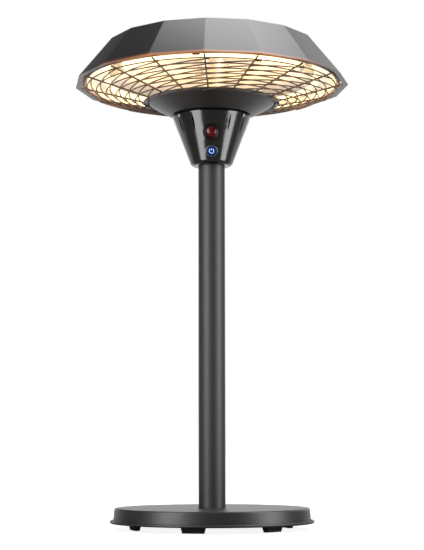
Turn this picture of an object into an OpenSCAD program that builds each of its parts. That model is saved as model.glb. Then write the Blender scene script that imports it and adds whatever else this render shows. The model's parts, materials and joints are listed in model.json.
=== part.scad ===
// Table-top electric patio heater: a weighted round base, a straight pole, a conical control
// housing, a dished hub and a sixteen-sided canopy over curved quartz heating tubes.
// Millimetres, +Z up. The origin is on the ground under the pole's axis; the controls face -Y.

/* [Base] */
// Height of the rubber feet
foot_h = 11.5; // [8:0.5:16]
// Tangential length of a foot at its top
foot_l = 42; // [30:1:50]
// Radial width of a foot at its top
foot_w = 13; // [13:1:26]
// Inset of a foot's lower face on each side
foot_taper = 2.5; // [0:0.5:3]
// Radius of the circle the feet stand on
foot_ring_r = 141; // [120:1:155]
// Turn of the feet about the pole
foot_turn = -13; // [-30:1:30]
// Height of the base above its feet
base_h = 26; // [25:0.5:40]
// Radius of the base at its top edge
base_r = 173.2; // [168:0.1:220]
// How far the side of the base flares outwards on its way down
base_flare = 2.2; // [0:0.1:6]
// Radius of the rounded top edge
base_edge_r = 3; // [2:0.5:8]
// Thickness of the pressed base cover
base_wall = 1.2; // [0.8:0.1:2]
// Radius of the rolled bead round the bottom edge
bead_r = 2.6; // [2:0.1:4]
// Distance of the bead's centre from the side
bead_reach = 3.6; // [2:0.1:6]
// Thickness of the plate that closes the base
plate_t = 1.2; // [0.8:0.1:3]
// Bore for the supply cord in the gland
cord_r = 4.3; // [3.5:0.1:5]

/* [Pole] */
// Outer diameter of the pole
pole_d = 48.2; // [44:0.1:52]
// Wall of the pole
pole_wall = 1.5; // [1:0.1:2.5]
// Length of the pole, from the base to its top end inside the housing
pole_len = 640; // [450:10:1200]

/* [Control housing] */
// How much of the pole's top the housing covers
pole_cover = 25.5; // [24:0.5:34]
// Height of the housing
housing_h = 93.7; // [90:0.1:110]
// Radius that the cone has at its lower end
housing_low_r = 36.9; // [35:0.1:40]
// Radius of the cone at its upper end
housing_top_r = 73; // [70:0.1:80]
// Wall of the housing
housing_wall = 2.5; // [2:0.1:3]
// Rounding of the housing's lower edge
housing_low_round = 9; // [6:0.5:11]
// Rounding of the housing's upper edge
housing_top_round = 4; // [3:0.5:6]
// Height of the receiver window above the housing's lower end
receiver_up = 52.2; // [50:0.1:58]
// Radius of the receiver window's bezel
receiver_r = 15.4; // [13:0.1:16]
// Radius of the red receiver lens
lens_r = 8.6; // [6:0.1:10]
// Height of the power button above the housing's lower end
button_up = 20; // [18:0.1:22]
// Radius of the power button's cap
button_r = 8.5; // [7:0.1:9]
// Travel of the power button
button_travel = 1; // [0.6:0.1:1.3]
// Angle between two vent slots
slot_step = 30; // [20:5:45]
// Length of a vent slot
slot_l = 32; // [20:1:40]
// Greatest width of a vent slot
slot_w = 3.6; // [2:0.1:5]

/* [Hub] */
// Radius of the dish's floor
dish_floor_r = 73.6; // [72:0.1:82]
// Radius of the dish at its upper edge
dish_r = 114.6; // [105:0.1:125]
// Height that the dish rises over its slope
dish_rise = 22.3; // [15:0.1:30]
// Sheet thickness of the dish
dish_t = 1.2; // [0.8:0.1:2]
// Height of the upright collar above the dish's slope
dish_collar_h = 3.3; // [2.6:0.1:6]
// Width of the flange, inside the collar, that the guard's inner ring is screwed to
hub_flange_w = 11; // [9:0.5:16]
// Width of the guard's inner ring
hub_ring_w = 7.8; // [6:0.1:10]
// Gap between the dish and the guard's inner ring
hub_gap = 2.2; // [0.8:0.1:3]

/* [Canopy] */
// Number of sides of the canopy
sides = 16; // [12:2:20]
// Turn of the canopy and guard about the pole
head_turn = -2.9; // [-11:0.1:11]
// Radius of the canopy's lower corners
canopy_r = 250; // [246:1:300]
// How far the upper corners lie inside the lower ones
canopy_side_run = 60.7; // [45:0.1:64]
// Height of the canopy's sloping sides
canopy_h = 75; // [70:0.1:90]
// Height of the canopy's lower edge above the dish's floor
canopy_up = 55.4; // [50:0.1:60]
// Height that the roof rises inside the upper corners
roof_rise = 12; // [10:0.5:30]
// Sheet thickness of the canopy
canopy_t = 1.2; // [0.8:0.1:2]
// Width of the lip turned in round the lower edge
lip_w = 9.2; // [6:0.1:10]

/* [Guard] */
// Gap between the guard's outer ring and the canopy's lip
guard_gap = 1.4; // [1:0.1:4]
// How far the layer of the rings lies below the canopy's lower edge at the guard's rim
guard_drop = 4; // [3.2:0.1:6]
// Distance between two rings
ring_pitch = 17.6; // [12:0.1:19]
// Diameter of the ring and spiral wires
wire_d = 2.3; // [1.6:0.1:2.4]
// Diameter of the spokes
spoke_d = 3; // [2:0.1:3.4]
// Diameter of the outer ring's wire
rim_wire_d = 2.4; // [2:0.1:3]

/* [Heating] */
// Distance of the heating tubes' circle from the reflector's rim
tube_inset = 37.4; // [34:0.1:60]
// Height of the tubes above the canopy's lower edge
tube_up = 8.1; // [6:0.1:12]
// Diameter of a quartz tube
tube_d = 11; // [8:0.5:12]
// Wall of a quartz tube
tube_wall = 1; // [0.8:0.1:1.5]
// Angle that each tube covers, counted from its middle
tube_half_angle = 52; // [45:0.5:53]
// Height of the reflector's flat top above the canopy's lower edge
reflector_up = 45.5; // [40:0.5:50]
// Distance of the reflector's rim from the guard's outer ring
reflector_inset = 5; // [3:0.1:8]
// Width of the reflector's curved border
reflector_reach = 78.4; // [70:0.1:95]
// Sheet thickness of the reflector
reflector_t = 0.8; // [0.5:0.1:1.2]
// Radius of the centre column
column_r = 29; // [26:0.5:30]

/* [Fasteners] */
// Nominal diameter of the base bolts and canopy studs
bolt_d = 6; // [5:1:6]
// Nominal diameter of the pillar screws
screw_d = 4; // [3:0.5:4]
// Nominal diameter of the feet's screws
foot_screw_d = 3; // [2.5:0.5:3]
// Circle of the bolts that hold the pole to the base
bolt_ring_r = 14.5; // [13:0.5:15.5]
// Circle of the pillars that carry the head
pillar_ring_r = 33.5; // [33:0.5:34.5]

/* [Hidden] */
$fn = 72;
seat = 0.05;            // gap between two faces that rest on each other
run = 0.08;             // radial clearance of a part that slides or turns
free = 0.3;             // radial clearance of a screw or tube that passes through

charcoal = "#3b3b3d";
satin_grey = "#4a4746";
gloss_black = "#161617";
rubber_black = "#202020";
bright_steel = "#b9bcc0";
zinc = "#9fa3a6";
cast_grey = "#77756f";
mirror_alu = "#e6dfd2";
ceramic_white = "#e9e4d8";
hot_wire = "#ff9a3c";
warm_glass = "#ffe6b8";
board_green = "#1d5b38";
lead_black = "#242426";
lead_white = "#e2e0da";

// Heights of the base and the pole
z_base = foot_h;
z_deck = z_base + base_h;
bead_low = z_base - 0.5;
bead_z = bead_low + bead_r;
z_pole_top = z_deck + pole_len;

// Heights of the housing and the hub
z_house = z_pole_top - pole_cover;
z_floor = z_house + housing_h + seat;
z_dish = z_floor + dish_rise;
z_collar = z_dish + dish_collar_h;

// Heights of the canopy
z_rim = z_floor + canopy_up;
z_top = z_rim + canopy_h;
z_roof = z_top + roof_rise;
roof_flat_r = 54;
z_tube = z_rim + tube_up;
z_reflector = z_rim + reflector_up;
reflector_rim_z = z_rim + 3;

pole_r = pole_d / 2;
pole_bore = pole_r - pole_wall;
bolt_r = bolt_d / 2;
screw_r = screw_d / 2;
bolt_head_h = bolt_d * 0.67;
bolt_head_r = bolt_d * 0.97;
washer_r = bolt_d * 1.3;
washer_t = 1.4;
screw_head_r = screw_d * 0.9;
screw_head_h = screw_d * 0.6;

// Radii that follow the canopy's: its upper corners, its lip, the guard, the reflector and the tubes
canopy_top_r = canopy_r - canopy_side_run;
lip_inner_r = canopy_r * cos(180 / sides) - lip_w;
guard_r = lip_inner_r - guard_gap - rim_wire_d / 2;
reflector_r = guard_r - reflector_inset;
reflector_flat_r = reflector_r - reflector_reach;
tube_ring_r = reflector_r - tube_inset;

// A point at radius r and azimuth a, counted from the front towards +X
function around(r, a) = [r * sin(a), -r * cos(a), 0];

// Puts its children, drawn with their radial direction along -Y, at azimuth a
module at_azimuth(a) {
    rotate([0, 0, a]) children();
}

// Puts copies of its children at n equal azimuths from a0
module ring_of(n, a0 = 0) {
    for (i = [0 : n - 1]) at_azimuth(a0 + i * 360 / n) children();
}

// Corner geometry for rounding the convex corner b between a and c
function unit(v) = v / norm(v);
function corner_angle(a, b, c) = acos(unit(a - b) * unit(c - b));
function corner_run(a, b, c, r) = r / tan(corner_angle(a, b, c) / 2);
function corner_centre(a, b, c, r) =
    b + unit(unit(a - b) + unit(c - b)) * r / sin(corner_angle(a, b, c) / 2);

// A convex polygon whose corners have the given radii
module rounded_polygon(points, radii) {
    n = len(points);
    polygon([for (i = [0 : n - 1])
        let (a = points[(i + n - 1) % n], b = points[i], c = points[(i + 1) % n])
        each radii[i] == 0 ? [b]
            : [b + unit(a - b) * corner_run(a, b, c, radii[i]),
               b + unit(c - b) * corner_run(a, b, c, radii[i])]]);
    for (i = [0 : n - 1])
        if (radii[i] > 0)
            translate(corner_centre(points[(i + n - 1) % n], points[i], points[(i + 1) % n], radii[i]))
                circle(r = radii[i]);
}

// A tube or rod along a list of points: one ring of corners at each point
function path_dir(p, i) =
    unit(p[min(i + 1, len(p) - 1)] - p[max(i - 1, 0)]);
function side_dir(d) =
    unit(cross(d, abs(d[2]) > 0.9 ? [0, 1, 0] : [0, 0, 1]));
module sweep(path, r, corners = 8) {
    n = len(path);
    points = [for (i = [0 : n - 1])
        let (d = path_dir(path, i), u = side_dir(d), v = cross(d, u))
        for (k = [0 : corners - 1])
            path[i] + r * (cos(k * 360 / corners) * u + sin(k * 360 / corners) * v)];
    faces = [
        [for (k = [0 : corners - 1]) k],
        for (i = [0 : n - 2]) for (k = [0 : corners - 1])
            let (k2 = (k + 1) % corners)
            [i * corners + k, (i + 1) * corners + k, (i + 1) * corners + k2, i * corners + k2],
        [for (k = [corners - 1 : -1 : 0]) (n - 1) * corners + k]
    ];
    polyhedron(points = points, faces = faces);
}

// A route of straight runs through the points p, joined by bends of radius r with m steps
function bend(a, b, c, r, m) =
    let (centre = corner_centre(a, b, c, r), turn = 180 - corner_angle(a, b, c),
         v1 = b + unit(a - b) * corner_run(a, b, c, r) - centre,
         v2 = b + unit(c - b) * corner_run(a, b, c, r) - centre)
    [for (k = [0 : m]) centre + (sin((1 - k / m) * turn) * v1 + sin(k / m * turn) * v2) / sin(turn)];
function rounded_route(p, r, m = 5) = [
    p[0],
    for (i = [1 : len(p) - 2]) each bend(p[i - 1], p[i], p[i + 1], r, m),
    p[len(p) - 1]
];

// ---- Base ----

// Outer radius of the base's side at height z
function base_side(z) = base_r + base_flare * (z_deck - z) / (z_deck - bead_z);

// The filled outline of the base, inset by a wall
module base_outline(inset, z_low) {
    rounded_polygon(
        [[0, z_low], [base_side(z_low) - inset, z_low], [base_r - inset, z_deck - inset],
         [0, z_deck - inset]],
        [0, 0, base_edge_r - inset, 0]);
}

bead_centre_r = base_side(bead_z) + bead_reach;
bead_web_t = 1.6;
gland_z = (bead_z + bead_r + z_deck - base_edge_r) / 2;
gland_r = cord_r + 2;
gland_collar_r = gland_r + 2.2;
gland_y = base_side(gland_z) + 0.9;
gland_collar_t = 4;
gland_dome_h = 12;
gland_nut_y = base_side(gland_z) - base_wall - 1.2;
gland_nut_t = 5;
gland_in_y = gland_nut_y - gland_nut_t - 3;
gland_out_y = gland_y + gland_collar_t + gland_dome_h;
lead_r = cord_r - 0.3;
lead_bore_r = 7;
centre_hole_r = 8;

module bolt_holes(r, z0, h) {
    ring_of(3) translate([0, -bolt_ring_r, z0]) cylinder(r = r, h = h);
}

module base_cover() {
    color(charcoal) difference() {
        rotate_extrude() difference() {
            union() {
                base_outline(0, bead_low);
                translate([bead_centre_r, bead_z]) circle(r = bead_r);
                translate([base_r - base_wall, bead_low])
                    square([bead_centre_r - base_r + base_wall, bead_web_t]);
            }
            base_outline(base_wall, bead_low - 1);
        }
        translate([0, 0, z_deck - 2 * base_wall]) cylinder(r = centre_hole_r, h = 3 * base_wall);
        bolt_holes(bolt_r + free, z_deck - 2 * base_wall, 3 * base_wall);
        translate([0, 0, gland_z]) rotate([-90, 0, 0]) cylinder(r = gland_r + 0.1, h = 2 * base_r);
    }
}

ballast_r = base_side(z_deck) - base_wall - 3;
ballast_low = z_base + plate_t + seat;
ballast_top = z_deck - base_wall - base_edge_r + 1;
ballast_hub_r = 60;
channel_w = 2 * gland_collar_r + 3;
foot_screw_l = 16;
foot_screw_r = foot_screw_d / 2;

module base_ballast() {
    color(cast_grey) difference() {
        rotate_extrude() polygon([
            [centre_hole_r, ballast_low], [ballast_r, ballast_low], [ballast_r, ballast_top],
            [ballast_hub_r, ballast_top], [ballast_hub_r, z_deck - base_wall - seat],
            [centre_hole_r, z_deck - base_wall - seat]]);
        bolt_holes(bolt_r + free, ballast_low - 1, base_h);
        translate([-channel_w / 2, 0, ballast_low + 2]) cube([channel_w, 2 * base_r, base_h]);
        ring_of(6, foot_turn) translate([0, -foot_ring_r, ballast_low - 1])
            cylinder(r = foot_screw_r + 0.05, h = foot_screw_l);
    }
}

module base_plate() {
    color(zinc) difference() {
        translate([0, 0, z_base]) cylinder(r = base_side(bead_z) - base_wall - 0.6, h = plate_t);
        bolt_holes(bolt_r + free, z_base - 1, plate_t + 2);
        ring_of(6, foot_turn) translate([0, -foot_ring_r, z_base - 1])
            cylinder(r = foot_screw_r + free, h = plate_t + 2);
    }
}

foot_recess = foot_h / 2;

module rubber_foot() {
    low_l = foot_l / 2 - foot_taper;
    low_w = foot_w / 2 - foot_taper;
    difference() {
        intersection() {
            translate([0, foot_w / 2, 0]) rotate([90, 0, 0]) linear_extrude(foot_w)
                polygon([[-low_l, 0], [low_l, 0], [foot_l / 2, foot_h - seat],
                         [-foot_l / 2, foot_h - seat]]);
            translate([-foot_l / 2, 0, 0]) rotate([90, 0, 90]) linear_extrude(foot_l)
                polygon([[-low_w, 0], [low_w, 0], [foot_w / 2, foot_h - seat],
                         [-foot_w / 2, foot_h - seat]]);
        }
        translate([0, 0, -1]) cylinder(r = 1.8 * foot_screw_r + 0.4, h = foot_recess + 1);
        cylinder(r = foot_screw_r + free, h = 2 * foot_h);
    }
}

module rubber_feet() {
    color(rubber_black) ring_of(6, foot_turn) translate([0, -foot_ring_r, 0]) rubber_foot();
}

// A screw with its head's seat at z = 0 and its thread pointing up
module screw(r, l) {
    translate([0, 0, -1.2 * r]) cylinder(r = 1.8 * r, h = 1.2 * r);
    cylinder(r = r, h = l);
}

module foot_screws() {
    color(zinc) ring_of(6, foot_turn) translate([0, -foot_ring_r, foot_recess - seat])
        screw(foot_screw_r, foot_screw_l + z_base - foot_recess - 2);
}

bolt_grip = base_h + 14;

module base_bolts() {
    color(zinc) ring_of(3)
        translate([0, -bolt_ring_r, z_base - washer_t - 2 * seat]) {
            translate([0, 0, -bolt_head_h]) cylinder(r = bolt_head_r, h = bolt_head_h, $fn = 6);
            cylinder(r = bolt_r, h = washer_t + bolt_grip);
        }
}

module bolt_washers() {
    color(zinc) ring_of(3) translate([0, -bolt_ring_r, z_base - washer_t - seat])
        difference() {
            cylinder(r = min(washer_r, bolt_ring_r * sin(60) - 0.3), h = washer_t);
            translate([0, 0, -1]) cylinder(r = bolt_r + free, h = washer_t + 2);
        }
}

module along_y(y0) {
    translate([0, y0, gland_z]) rotate([-90, 0, 0]) children();
}

module cable_gland() {
    color(rubber_black) difference() {
        union() {
            along_y(gland_y) cylinder(r = gland_collar_r, h = gland_collar_t, $fn = 6);
            along_y(gland_y + gland_collar_t) rotate_extrude() rounded_polygon(
                [[0, 0], [gland_r + 0.8, 0], [gland_r - 0.4, gland_dome_h], [0, gland_dome_h]],
                [0, 0, 1.6, 0]);
            along_y(gland_in_y) cylinder(r = gland_r, h = gland_y - gland_in_y);
        }
        along_y(gland_in_y - 1) cylinder(r = cord_r, h = gland_out_y - gland_in_y + 2);
    }
}

module gland_nut() {
    color(rubber_black) along_y(gland_nut_y - gland_nut_t) difference() {
        cylinder(r = gland_collar_r, h = gland_nut_t, $fn = 6);
        translate([0, 0, -1]) cylinder(r = gland_r + 0.05, h = gland_nut_t + 2);
    }
}

// ---- Pole ----

plug_h = 20;
spigot_h = 25;
flange_t = 4;
flange_r = pillar_ring_r + 5;
flange_flat_y = 27;
neck_bore_r = 9;

module pole() {
    color(charcoal) translate([0, 0, z_deck + seat]) difference() {
        cylinder(r = pole_r, h = pole_len - seat);
        translate([0, 0, -1]) cylinder(r = pole_bore, h = pole_len + 2);
    }
}

module pole_foot_plug() {
    color(zinc) difference() {
        translate([0, 0, z_deck + seat]) cylinder(r = pole_bore - 0.05, h = plug_h);
        translate([0, 0, z_deck - 1]) cylinder(r = lead_bore_r, h = plug_h + 2);
        bolt_holes(bolt_r + 0.05, z_deck - 1, plug_h + 2);
    }
}

z_flange = z_pole_top + seat;
z_pillar = z_flange + flange_t + seat;
pillar_h = z_floor - seat - z_pillar;
pillar_r = 5;
pillar_thread = 11;     // length of a screw's thread in a pillar

module pillar_spots(z) {
    ring_of(3, 60) translate([0, -pillar_ring_r, z]) children();
}

module neck_flange() {
    color(zinc) difference() {
        union() {
            translate([0, 0, z_pole_top - spigot_h]) cylinder(r = pole_bore - 0.05, h = spigot_h + 1);
            translate([0, 0, z_flange]) cylinder(r = flange_r, h = flange_t);
        }
        translate([0, 0, z_pole_top - spigot_h - 1]) cylinder(r = neck_bore_r, h = spigot_h + 10);
        pillar_spots(z_flange - 1) cylinder(r = screw_r + free, h = flange_t + 2);
        translate([-flange_r, -flange_r - flange_flat_y, z_flange - 1])
            cube([2 * flange_r, flange_r, flange_t + 2]);
        for (x = [-block_screw_x, block_screw_x]) translate([x, 0, z_flange - 1])
            cylinder(r = small_screw_r + 0.05, h = flange_t + 2);
    }
}

module head_pillars() {
    color(zinc) difference() {
        pillar_spots(z_pillar) cylinder(r = pillar_r, h = pillar_h, $fn = 6);
        pillar_spots(z_pillar - 1) cylinder(r = screw_r + 0.05, h = pillar_thread + 2);
        pillar_spots(z_pillar + pillar_h - pillar_thread - 1)
            cylinder(r = screw_r + 0.05, h = pillar_thread + 2);
        for (z = power_screw_z) translate([0, power_board_y - 1, z]) rotate([-90, 0, 0])
            cylinder(r = small_screw_r + 0.05, h = 9);
    }
}

module lower_pillar_screws() {
    color(zinc) pillar_spots(z_flange - seat) screw(screw_r, flange_t + pillar_thread);
}

module upper_pillar_screws() {
    color(zinc) pillar_spots(z_column + column_flange_t + seat) mirror([0, 0, 1])
        screw(screw_r, dish_t + column_flange_t + pillar_thread);
}

// ---- Control housing ----

housing_rake = atan((housing_top_r - housing_low_r) / housing_h);
function housing_at(z) = housing_low_r + (z - z_house) * tan(housing_rake);
wall_run = housing_wall / cos(housing_rake);

// Puts its children on the front of the cone at height z: +Z outwards, +Y up the slope
module on_front(z) {
    translate([0, -housing_at(z), z]) rotate([90 + housing_rake, 0, 0]) children();
}

// The filled cone with rounded edges
module housing_solid() {
    rotate_extrude() rounded_polygon(
        [[0, z_house], [housing_low_r, z_house], [housing_top_r, z_house + housing_h],
         [0, z_house + housing_h]],
        [0, housing_low_round, housing_top_round, 0]);
}

module housing_hollow() {
    rotate_extrude() rounded_polygon(
        [[0, z_house + housing_wall], [housing_at(z_house + housing_wall) - wall_run,
          z_house + housing_wall],
         [housing_at(z_house + housing_h - housing_wall) - wall_run,
          z_house + housing_h - housing_wall],
         [0, z_house + housing_h - housing_wall]],
        [0, housing_low_round - housing_wall, housing_top_round - housing_wall, 0]);
}

z_receiver = z_house + receiver_up;
z_button = z_house + button_up;
receiver_pocket = 3.2;
receiver_boss_d = 5.8;
receiver_barrel_r = lens_r + 1;
button_pocket = 1.8;
button_boss_d = 5;
button_bore = button_r + run;
bezel_r = button_r + 2.4;
sleeve_r = button_bore + 0.9;
board_depth = 12;       // depth of the control board's front face behind the cone's surface
board_t = 1.6;
board_half_w = 20;
board_margin = 13;
controls_gap = (z_receiver - z_button) / cos(housing_rake);
board_post_x = 16.5;
board_post_up = [3 - board_margin, controls_gap + board_margin - 3];
post_r = 3.2;
small_screw_r = 1.45;
slot_z = z_house + housing_h - 23;
cover_screw_angles = [-54, 54, 180];
cover_screw_z = z_house + housing_h - 7.5;
tab_t = 1.5;

// A vent slot, widest in its middle and pointed at both ends, cut radially at azimuth a
slot_steps = 6;
slot_side = [for (i = [0 : slot_steps])
    [slot_w / 2 * sin(180 * i / slot_steps), slot_l * (i / slot_steps - 0.5)]];
slot_outline = [each slot_side, for (i = [slot_steps - 1 : -1 : 1]) [-slot_side[i][0], slot_side[i][1]]];

module vent_slot(a) {
    at_azimuth(a) translate([0, -housing_at(slot_z) + 13, slot_z]) rotate([90, 0, 0])
        linear_extrude(26) polygon(slot_outline);
}

// The plain cone that runs through the middle of the housing's wall
module wall_core() {
    translate([0, 0, z_house]) cylinder(r1 = housing_low_r - wall_run / 2,
        r2 = housing_top_r - wall_run / 2, h = housing_h);
}

module boss(z, r, d) {
    intersection() {
        wall_core();
        on_front(z) translate([0, 0, -d]) cylinder(r = r, h = d + 10);
    }
}

module board_posts(z0, h, r) {
    on_front(z_button) for (x = [-board_post_x, board_post_x]) for (y = board_post_up)
        translate([x, y, z0]) cylinder(r = r, h = h);
}

module control_housing() {
    color(gloss_black) difference() {
        union() {
            difference() {
                housing_solid();
                housing_hollow();
                translate([0, 0, z_house + housing_h - 2 * housing_wall])
                    cylinder(r = housing_top_r - 2 * housing_top_round, h = 4 * housing_wall);
            }
            boss(z_receiver, receiver_r + 2, receiver_boss_d);
            boss(z_button, bezel_r + 2, button_boss_d);
            intersection() {
                wall_core();
                board_posts(-board_depth + seat, board_depth, post_r);
            }
        }
        translate([0, 0, z_house - 1]) cylinder(r = pole_r + free, h = housing_wall + 2);
        on_front(z_receiver) translate([0, 0, -receiver_pocket])
            cylinder(r = receiver_r + 0.15, h = 20);
        on_front(z_receiver) translate([0, 0, -20]) cylinder(r = receiver_barrel_r + 0.15, h = 40);
        on_front(z_button) translate([0, 0, -button_pocket]) cylinder(r = bezel_r + 0.15, h = 20);
        on_front(z_button) translate([0, 0, -20]) cylinder(r = sleeve_r + 0.1, h = 40);
        board_posts(-board_depth - 1, 6, small_screw_r + 0.05);
        for (a = [slot_step : slot_step : 360 - slot_step / 2]) vent_slot(a);
        for (a = cover_screw_angles) cover_screw_at(a) translate([0, 0, -10])
            cylinder(r = screw_r * 0.75 + free, h = 20);
    }
}

// Puts its children on the cone at azimuth a: +Z outwards
module cover_screw_at(a) {
    at_azimuth(a) on_front(cover_screw_z) children();
}

module housing_screws() {
    color(bright_steel) for (a = cover_screw_angles) cover_screw_at(a)
        translate([0, 0, 0.3]) mirror([0, 0, 1]) screw(screw_r * 0.75, housing_wall + tab_t + 3);
}

// Stepped tabs, welded under the dish's floor, that pass the housing's inner lip and take its screws
tab_w = 12;
tab_foot = 12;
tab_gap = 0.45;
tab_run = tab_t / cos(housing_rake);
tab_low_z = cover_screw_z - tab_w / 2;
lip_z = z_house + housing_h - housing_wall - free;
tab_bend_z = lip_z - 2 * tab_t;
tab_top_z = z_floor - seat;
tab_foot_r = housing_top_r - 2 * housing_top_round - 1;
function tab_face_r(z) = housing_at(z) - wall_run - tab_gap;
tab_bend_r = tab_face_r(tab_bend_z);
tab_outline = [
    [tab_foot_r - tab_foot, tab_top_z], [tab_foot_r, tab_top_z], [tab_foot_r, lip_z],
    [tab_bend_r - tab_t, lip_z], [tab_bend_r, tab_bend_z], [tab_face_r(tab_low_z), tab_low_z],
    [tab_face_r(tab_low_z) - tab_run, tab_low_z], [tab_bend_r - tab_run, tab_bend_z],
    [tab_bend_r - tab_run - tab_t / 2, lip_z - tab_t], [tab_foot_r - tab_t, lip_z - tab_t],
    [tab_foot_r - tab_t, tab_top_z - tab_t], [tab_foot_r - tab_foot, tab_top_z - tab_t]
];

module housing_tabs() {
    color(zinc) for (a = cover_screw_angles) difference() {
        at_azimuth(a) translate([tab_w / 2, 0, 0]) rotate([90, 0, -90]) linear_extrude(tab_w)
            polygon(tab_outline);
        cover_screw_at(a) translate([0, 0, -12]) cylinder(r = screw_r * 0.75 + 0.05, h = 20);
    }
}

module receiver_bezel() {
    color(gloss_black) on_front(z_receiver) difference() {
        union() {
            translate([0, 0, -receiver_pocket + seat]) cylinder(r = receiver_r, h = receiver_pocket - 0.5);
            translate([0, 0, -8]) cylinder(r = receiver_barrel_r, h = 8 - receiver_pocket + 1);
        }
        translate([0, 0, -9]) cylinder(r = lens_r - 1.3, h = 20);
        translate([0, 0, -5]) cylinder(r = lens_r + 0.1, h = 20);
        translate([0, 0, -2.4]) cylinder(r1 = lens_r + 0.5, r2 = receiver_r - 1.6, h = 2.1);
    }
}

module receiver_lens() {
    dome_h = 2.6;
    dome_r = (lens_r * lens_r + dome_h * dome_h) / (2 * dome_h);
    color("#a01210") on_front(z_receiver) intersection() {
        translate([0, 0, -5 + seat]) cylinder(r = lens_r, h = 10);
        translate([0, 0, 1.2 - dome_r]) sphere(r = dome_r);
    }
}

module ir_sensor() {
    color("#26201f") on_front(z_receiver) {
        translate([-3, -3.5, -board_depth + seat]) cube([6, 7, 3]);
        translate([0, 0, -board_depth + 3]) cylinder(r = 2.2, h = 1.4);
    }
}

module button_bezel() {
    color(gloss_black) on_front(z_button) difference() {
        union() {
            translate([0, 0, -button_pocket + seat]) rotate_extrude() rounded_polygon(
                [[0, 0], [bezel_r, 0], [bezel_r, button_pocket + 0.5], [0, button_pocket + 0.5]],
                [0, 0, 0.8, 0]);
            translate([0, 0, -sleeve_depth]) cylinder(r = sleeve_r, h = sleeve_depth);
        }
        translate([0, 0, -20]) cylinder(r = button_bore, h = 40);
    }
}

sleeve_depth = 8.4;
switch_half = 3;
switch_h = 3.6;
plunger_r = 1.6;
plunger_top = 6.8;      // depth of the plunger's free end behind the cone's surface
cap_front = 0.5;
cap_skin = 2;
catch_t = 1.2;

module power_button() {
    color("#1b3fd0") on_front(z_button) difference() {
        union() {
            rotate([180, 0, 0]) translate([0, 0, -cap_front]) rotate_extrude() rounded_polygon(
                [[0, 0], [0, sleeve_depth + cap_front], [button_r, sleeve_depth + cap_front],
                 [button_r, 0]], [0, 0, 0, 0.8]);
            translate([0, 0, -sleeve_depth - 0.3 - catch_t])
                cylinder(r = sleeve_r - 0.2, h = catch_t);
            translate([0, 0, -sleeve_depth - 0.4]) cylinder(r = button_r, h = 1);
        }
        difference() {
            translate([0, 0, -20]) cylinder(r = button_r - 1.6, h = 20 + cap_front - cap_skin);
            translate([0, 0, -plunger_top + seat]) cylinder(r = plunger_r, h = plunger_top);
        }
    }
}

module switch_plunger() {
    color("#d8d2c4") on_front(z_button) translate([0, 0, -board_depth + button_travel + 0.5])
        cylinder(r = plunger_r, h = board_depth - button_travel - 0.5 - plunger_top);
}

module tact_switch() {
    color("#2b2b2b") on_front(z_button) difference() {
        translate([-switch_half, -switch_half, -board_depth + seat])
            cube([2 * switch_half, 2 * switch_half, switch_h]);
        translate([0, 0, -board_depth + 0.4]) cylinder(r = plunger_r + run, h = switch_h);
    }
}

module status_leds() {
    color("#7fb2ff") on_front(z_button) for (x = [-4.7, 4.7])
        translate([x - 0.7, -0.8, -board_depth + seat]) cube([1.4, 1.6, 0.7]);
}

module control_board() {
    color(board_green) difference() {
        on_front(z_button) translate([-board_half_w, -board_margin, -board_depth - board_t])
            cube([2 * board_half_w, controls_gap + 2 * board_margin, board_t]);
        board_posts(-board_depth - board_t - 1, board_t + 2, small_screw_r + free);
    }
}

module board_screws() {
    color(zinc) on_front(z_button) for (x = [-board_post_x, board_post_x])
        for (y = board_post_up) translate([x, y, -board_depth - board_t - seat])
            screw(small_screw_r, board_t + 4);
}

// ---- Power electronics in the head ----

block_w = 40;
block_d = 22;
block_h = 18;
block_screw_x = 16;
block_spacer_h = 15;
z_block = z_pillar + block_spacer_h + seat;

module terminal_spacers() {
    color(zinc) for (x = [-block_screw_x, block_screw_x]) difference() {
        translate([x, 0, z_pillar]) cylinder(r = 3, h = block_spacer_h);
        translate([x, 0, z_pillar - 1]) cylinder(r = small_screw_r + free, h = block_spacer_h + 2);
    }
}

module terminal_block() {
    color(ceramic_white) difference() {
        translate([-block_w / 2, -block_d / 2, z_block]) cube([block_w, block_d, block_h]);
        for (x = [-block_screw_x, block_screw_x]) translate([x, 0, z_block - 1]) {
            cylinder(r = small_screw_r + free, h = block_h + 2);
            translate([0, 0, block_h - 4]) cylinder(r = 3, h = 6);
        }
        for (x = [-8, 0, 8]) for (y = [-7, 7]) translate([x, y, z_block + block_h - 6])
            cylinder(r = 2.2, h = 7);
    }
}

module terminal_screws() {
    color("#c9a24a") for (x = [-8, 0, 8]) for (y = [-7, 7])
        translate([x, y, z_block + block_h - 6 + seat]) cylinder(r = 2.1, h = 3);
}

module block_screws() {
    color(zinc) for (x = [-block_screw_x, block_screw_x])
        translate([x, 0, z_block + block_h - 5 + seat]) mirror([0, 0, 1])
            screw(small_screw_r, block_h - 5 + block_spacer_h + flange_t);
}

power_board_y = pillar_ring_r - pillar_r * cos(30) - board_t - 0.1;
power_board_w = 52;
power_screw_z = [z_pillar + pillar_thread + 3, z_pillar + pillar_h - pillar_thread - 3];
power_board_z = power_screw_z[0] - 6;
power_board_h = power_screw_z[1] + 6 - power_board_z;
relay_w = 11;
relay_d = 13;
relay_h = 15;
relay_x = [-16, -4, 15];

module power_board() {
    color(board_green) difference() {
        translate([-power_board_w / 2, power_board_y, power_board_z])
            cube([power_board_w, board_t, power_board_h]);
        for (z = power_screw_z) translate([0, power_board_y - 1, z]) rotate([-90, 0, 0])
            cylinder(r = small_screw_r + free, h = board_t + 2);
    }
}

module power_board_screws() {
    color(zinc) for (z = power_screw_z) translate([0, power_board_y - seat, z])
        rotate([-90, 0, 0]) screw(small_screw_r, board_t + 6);
}

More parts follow.
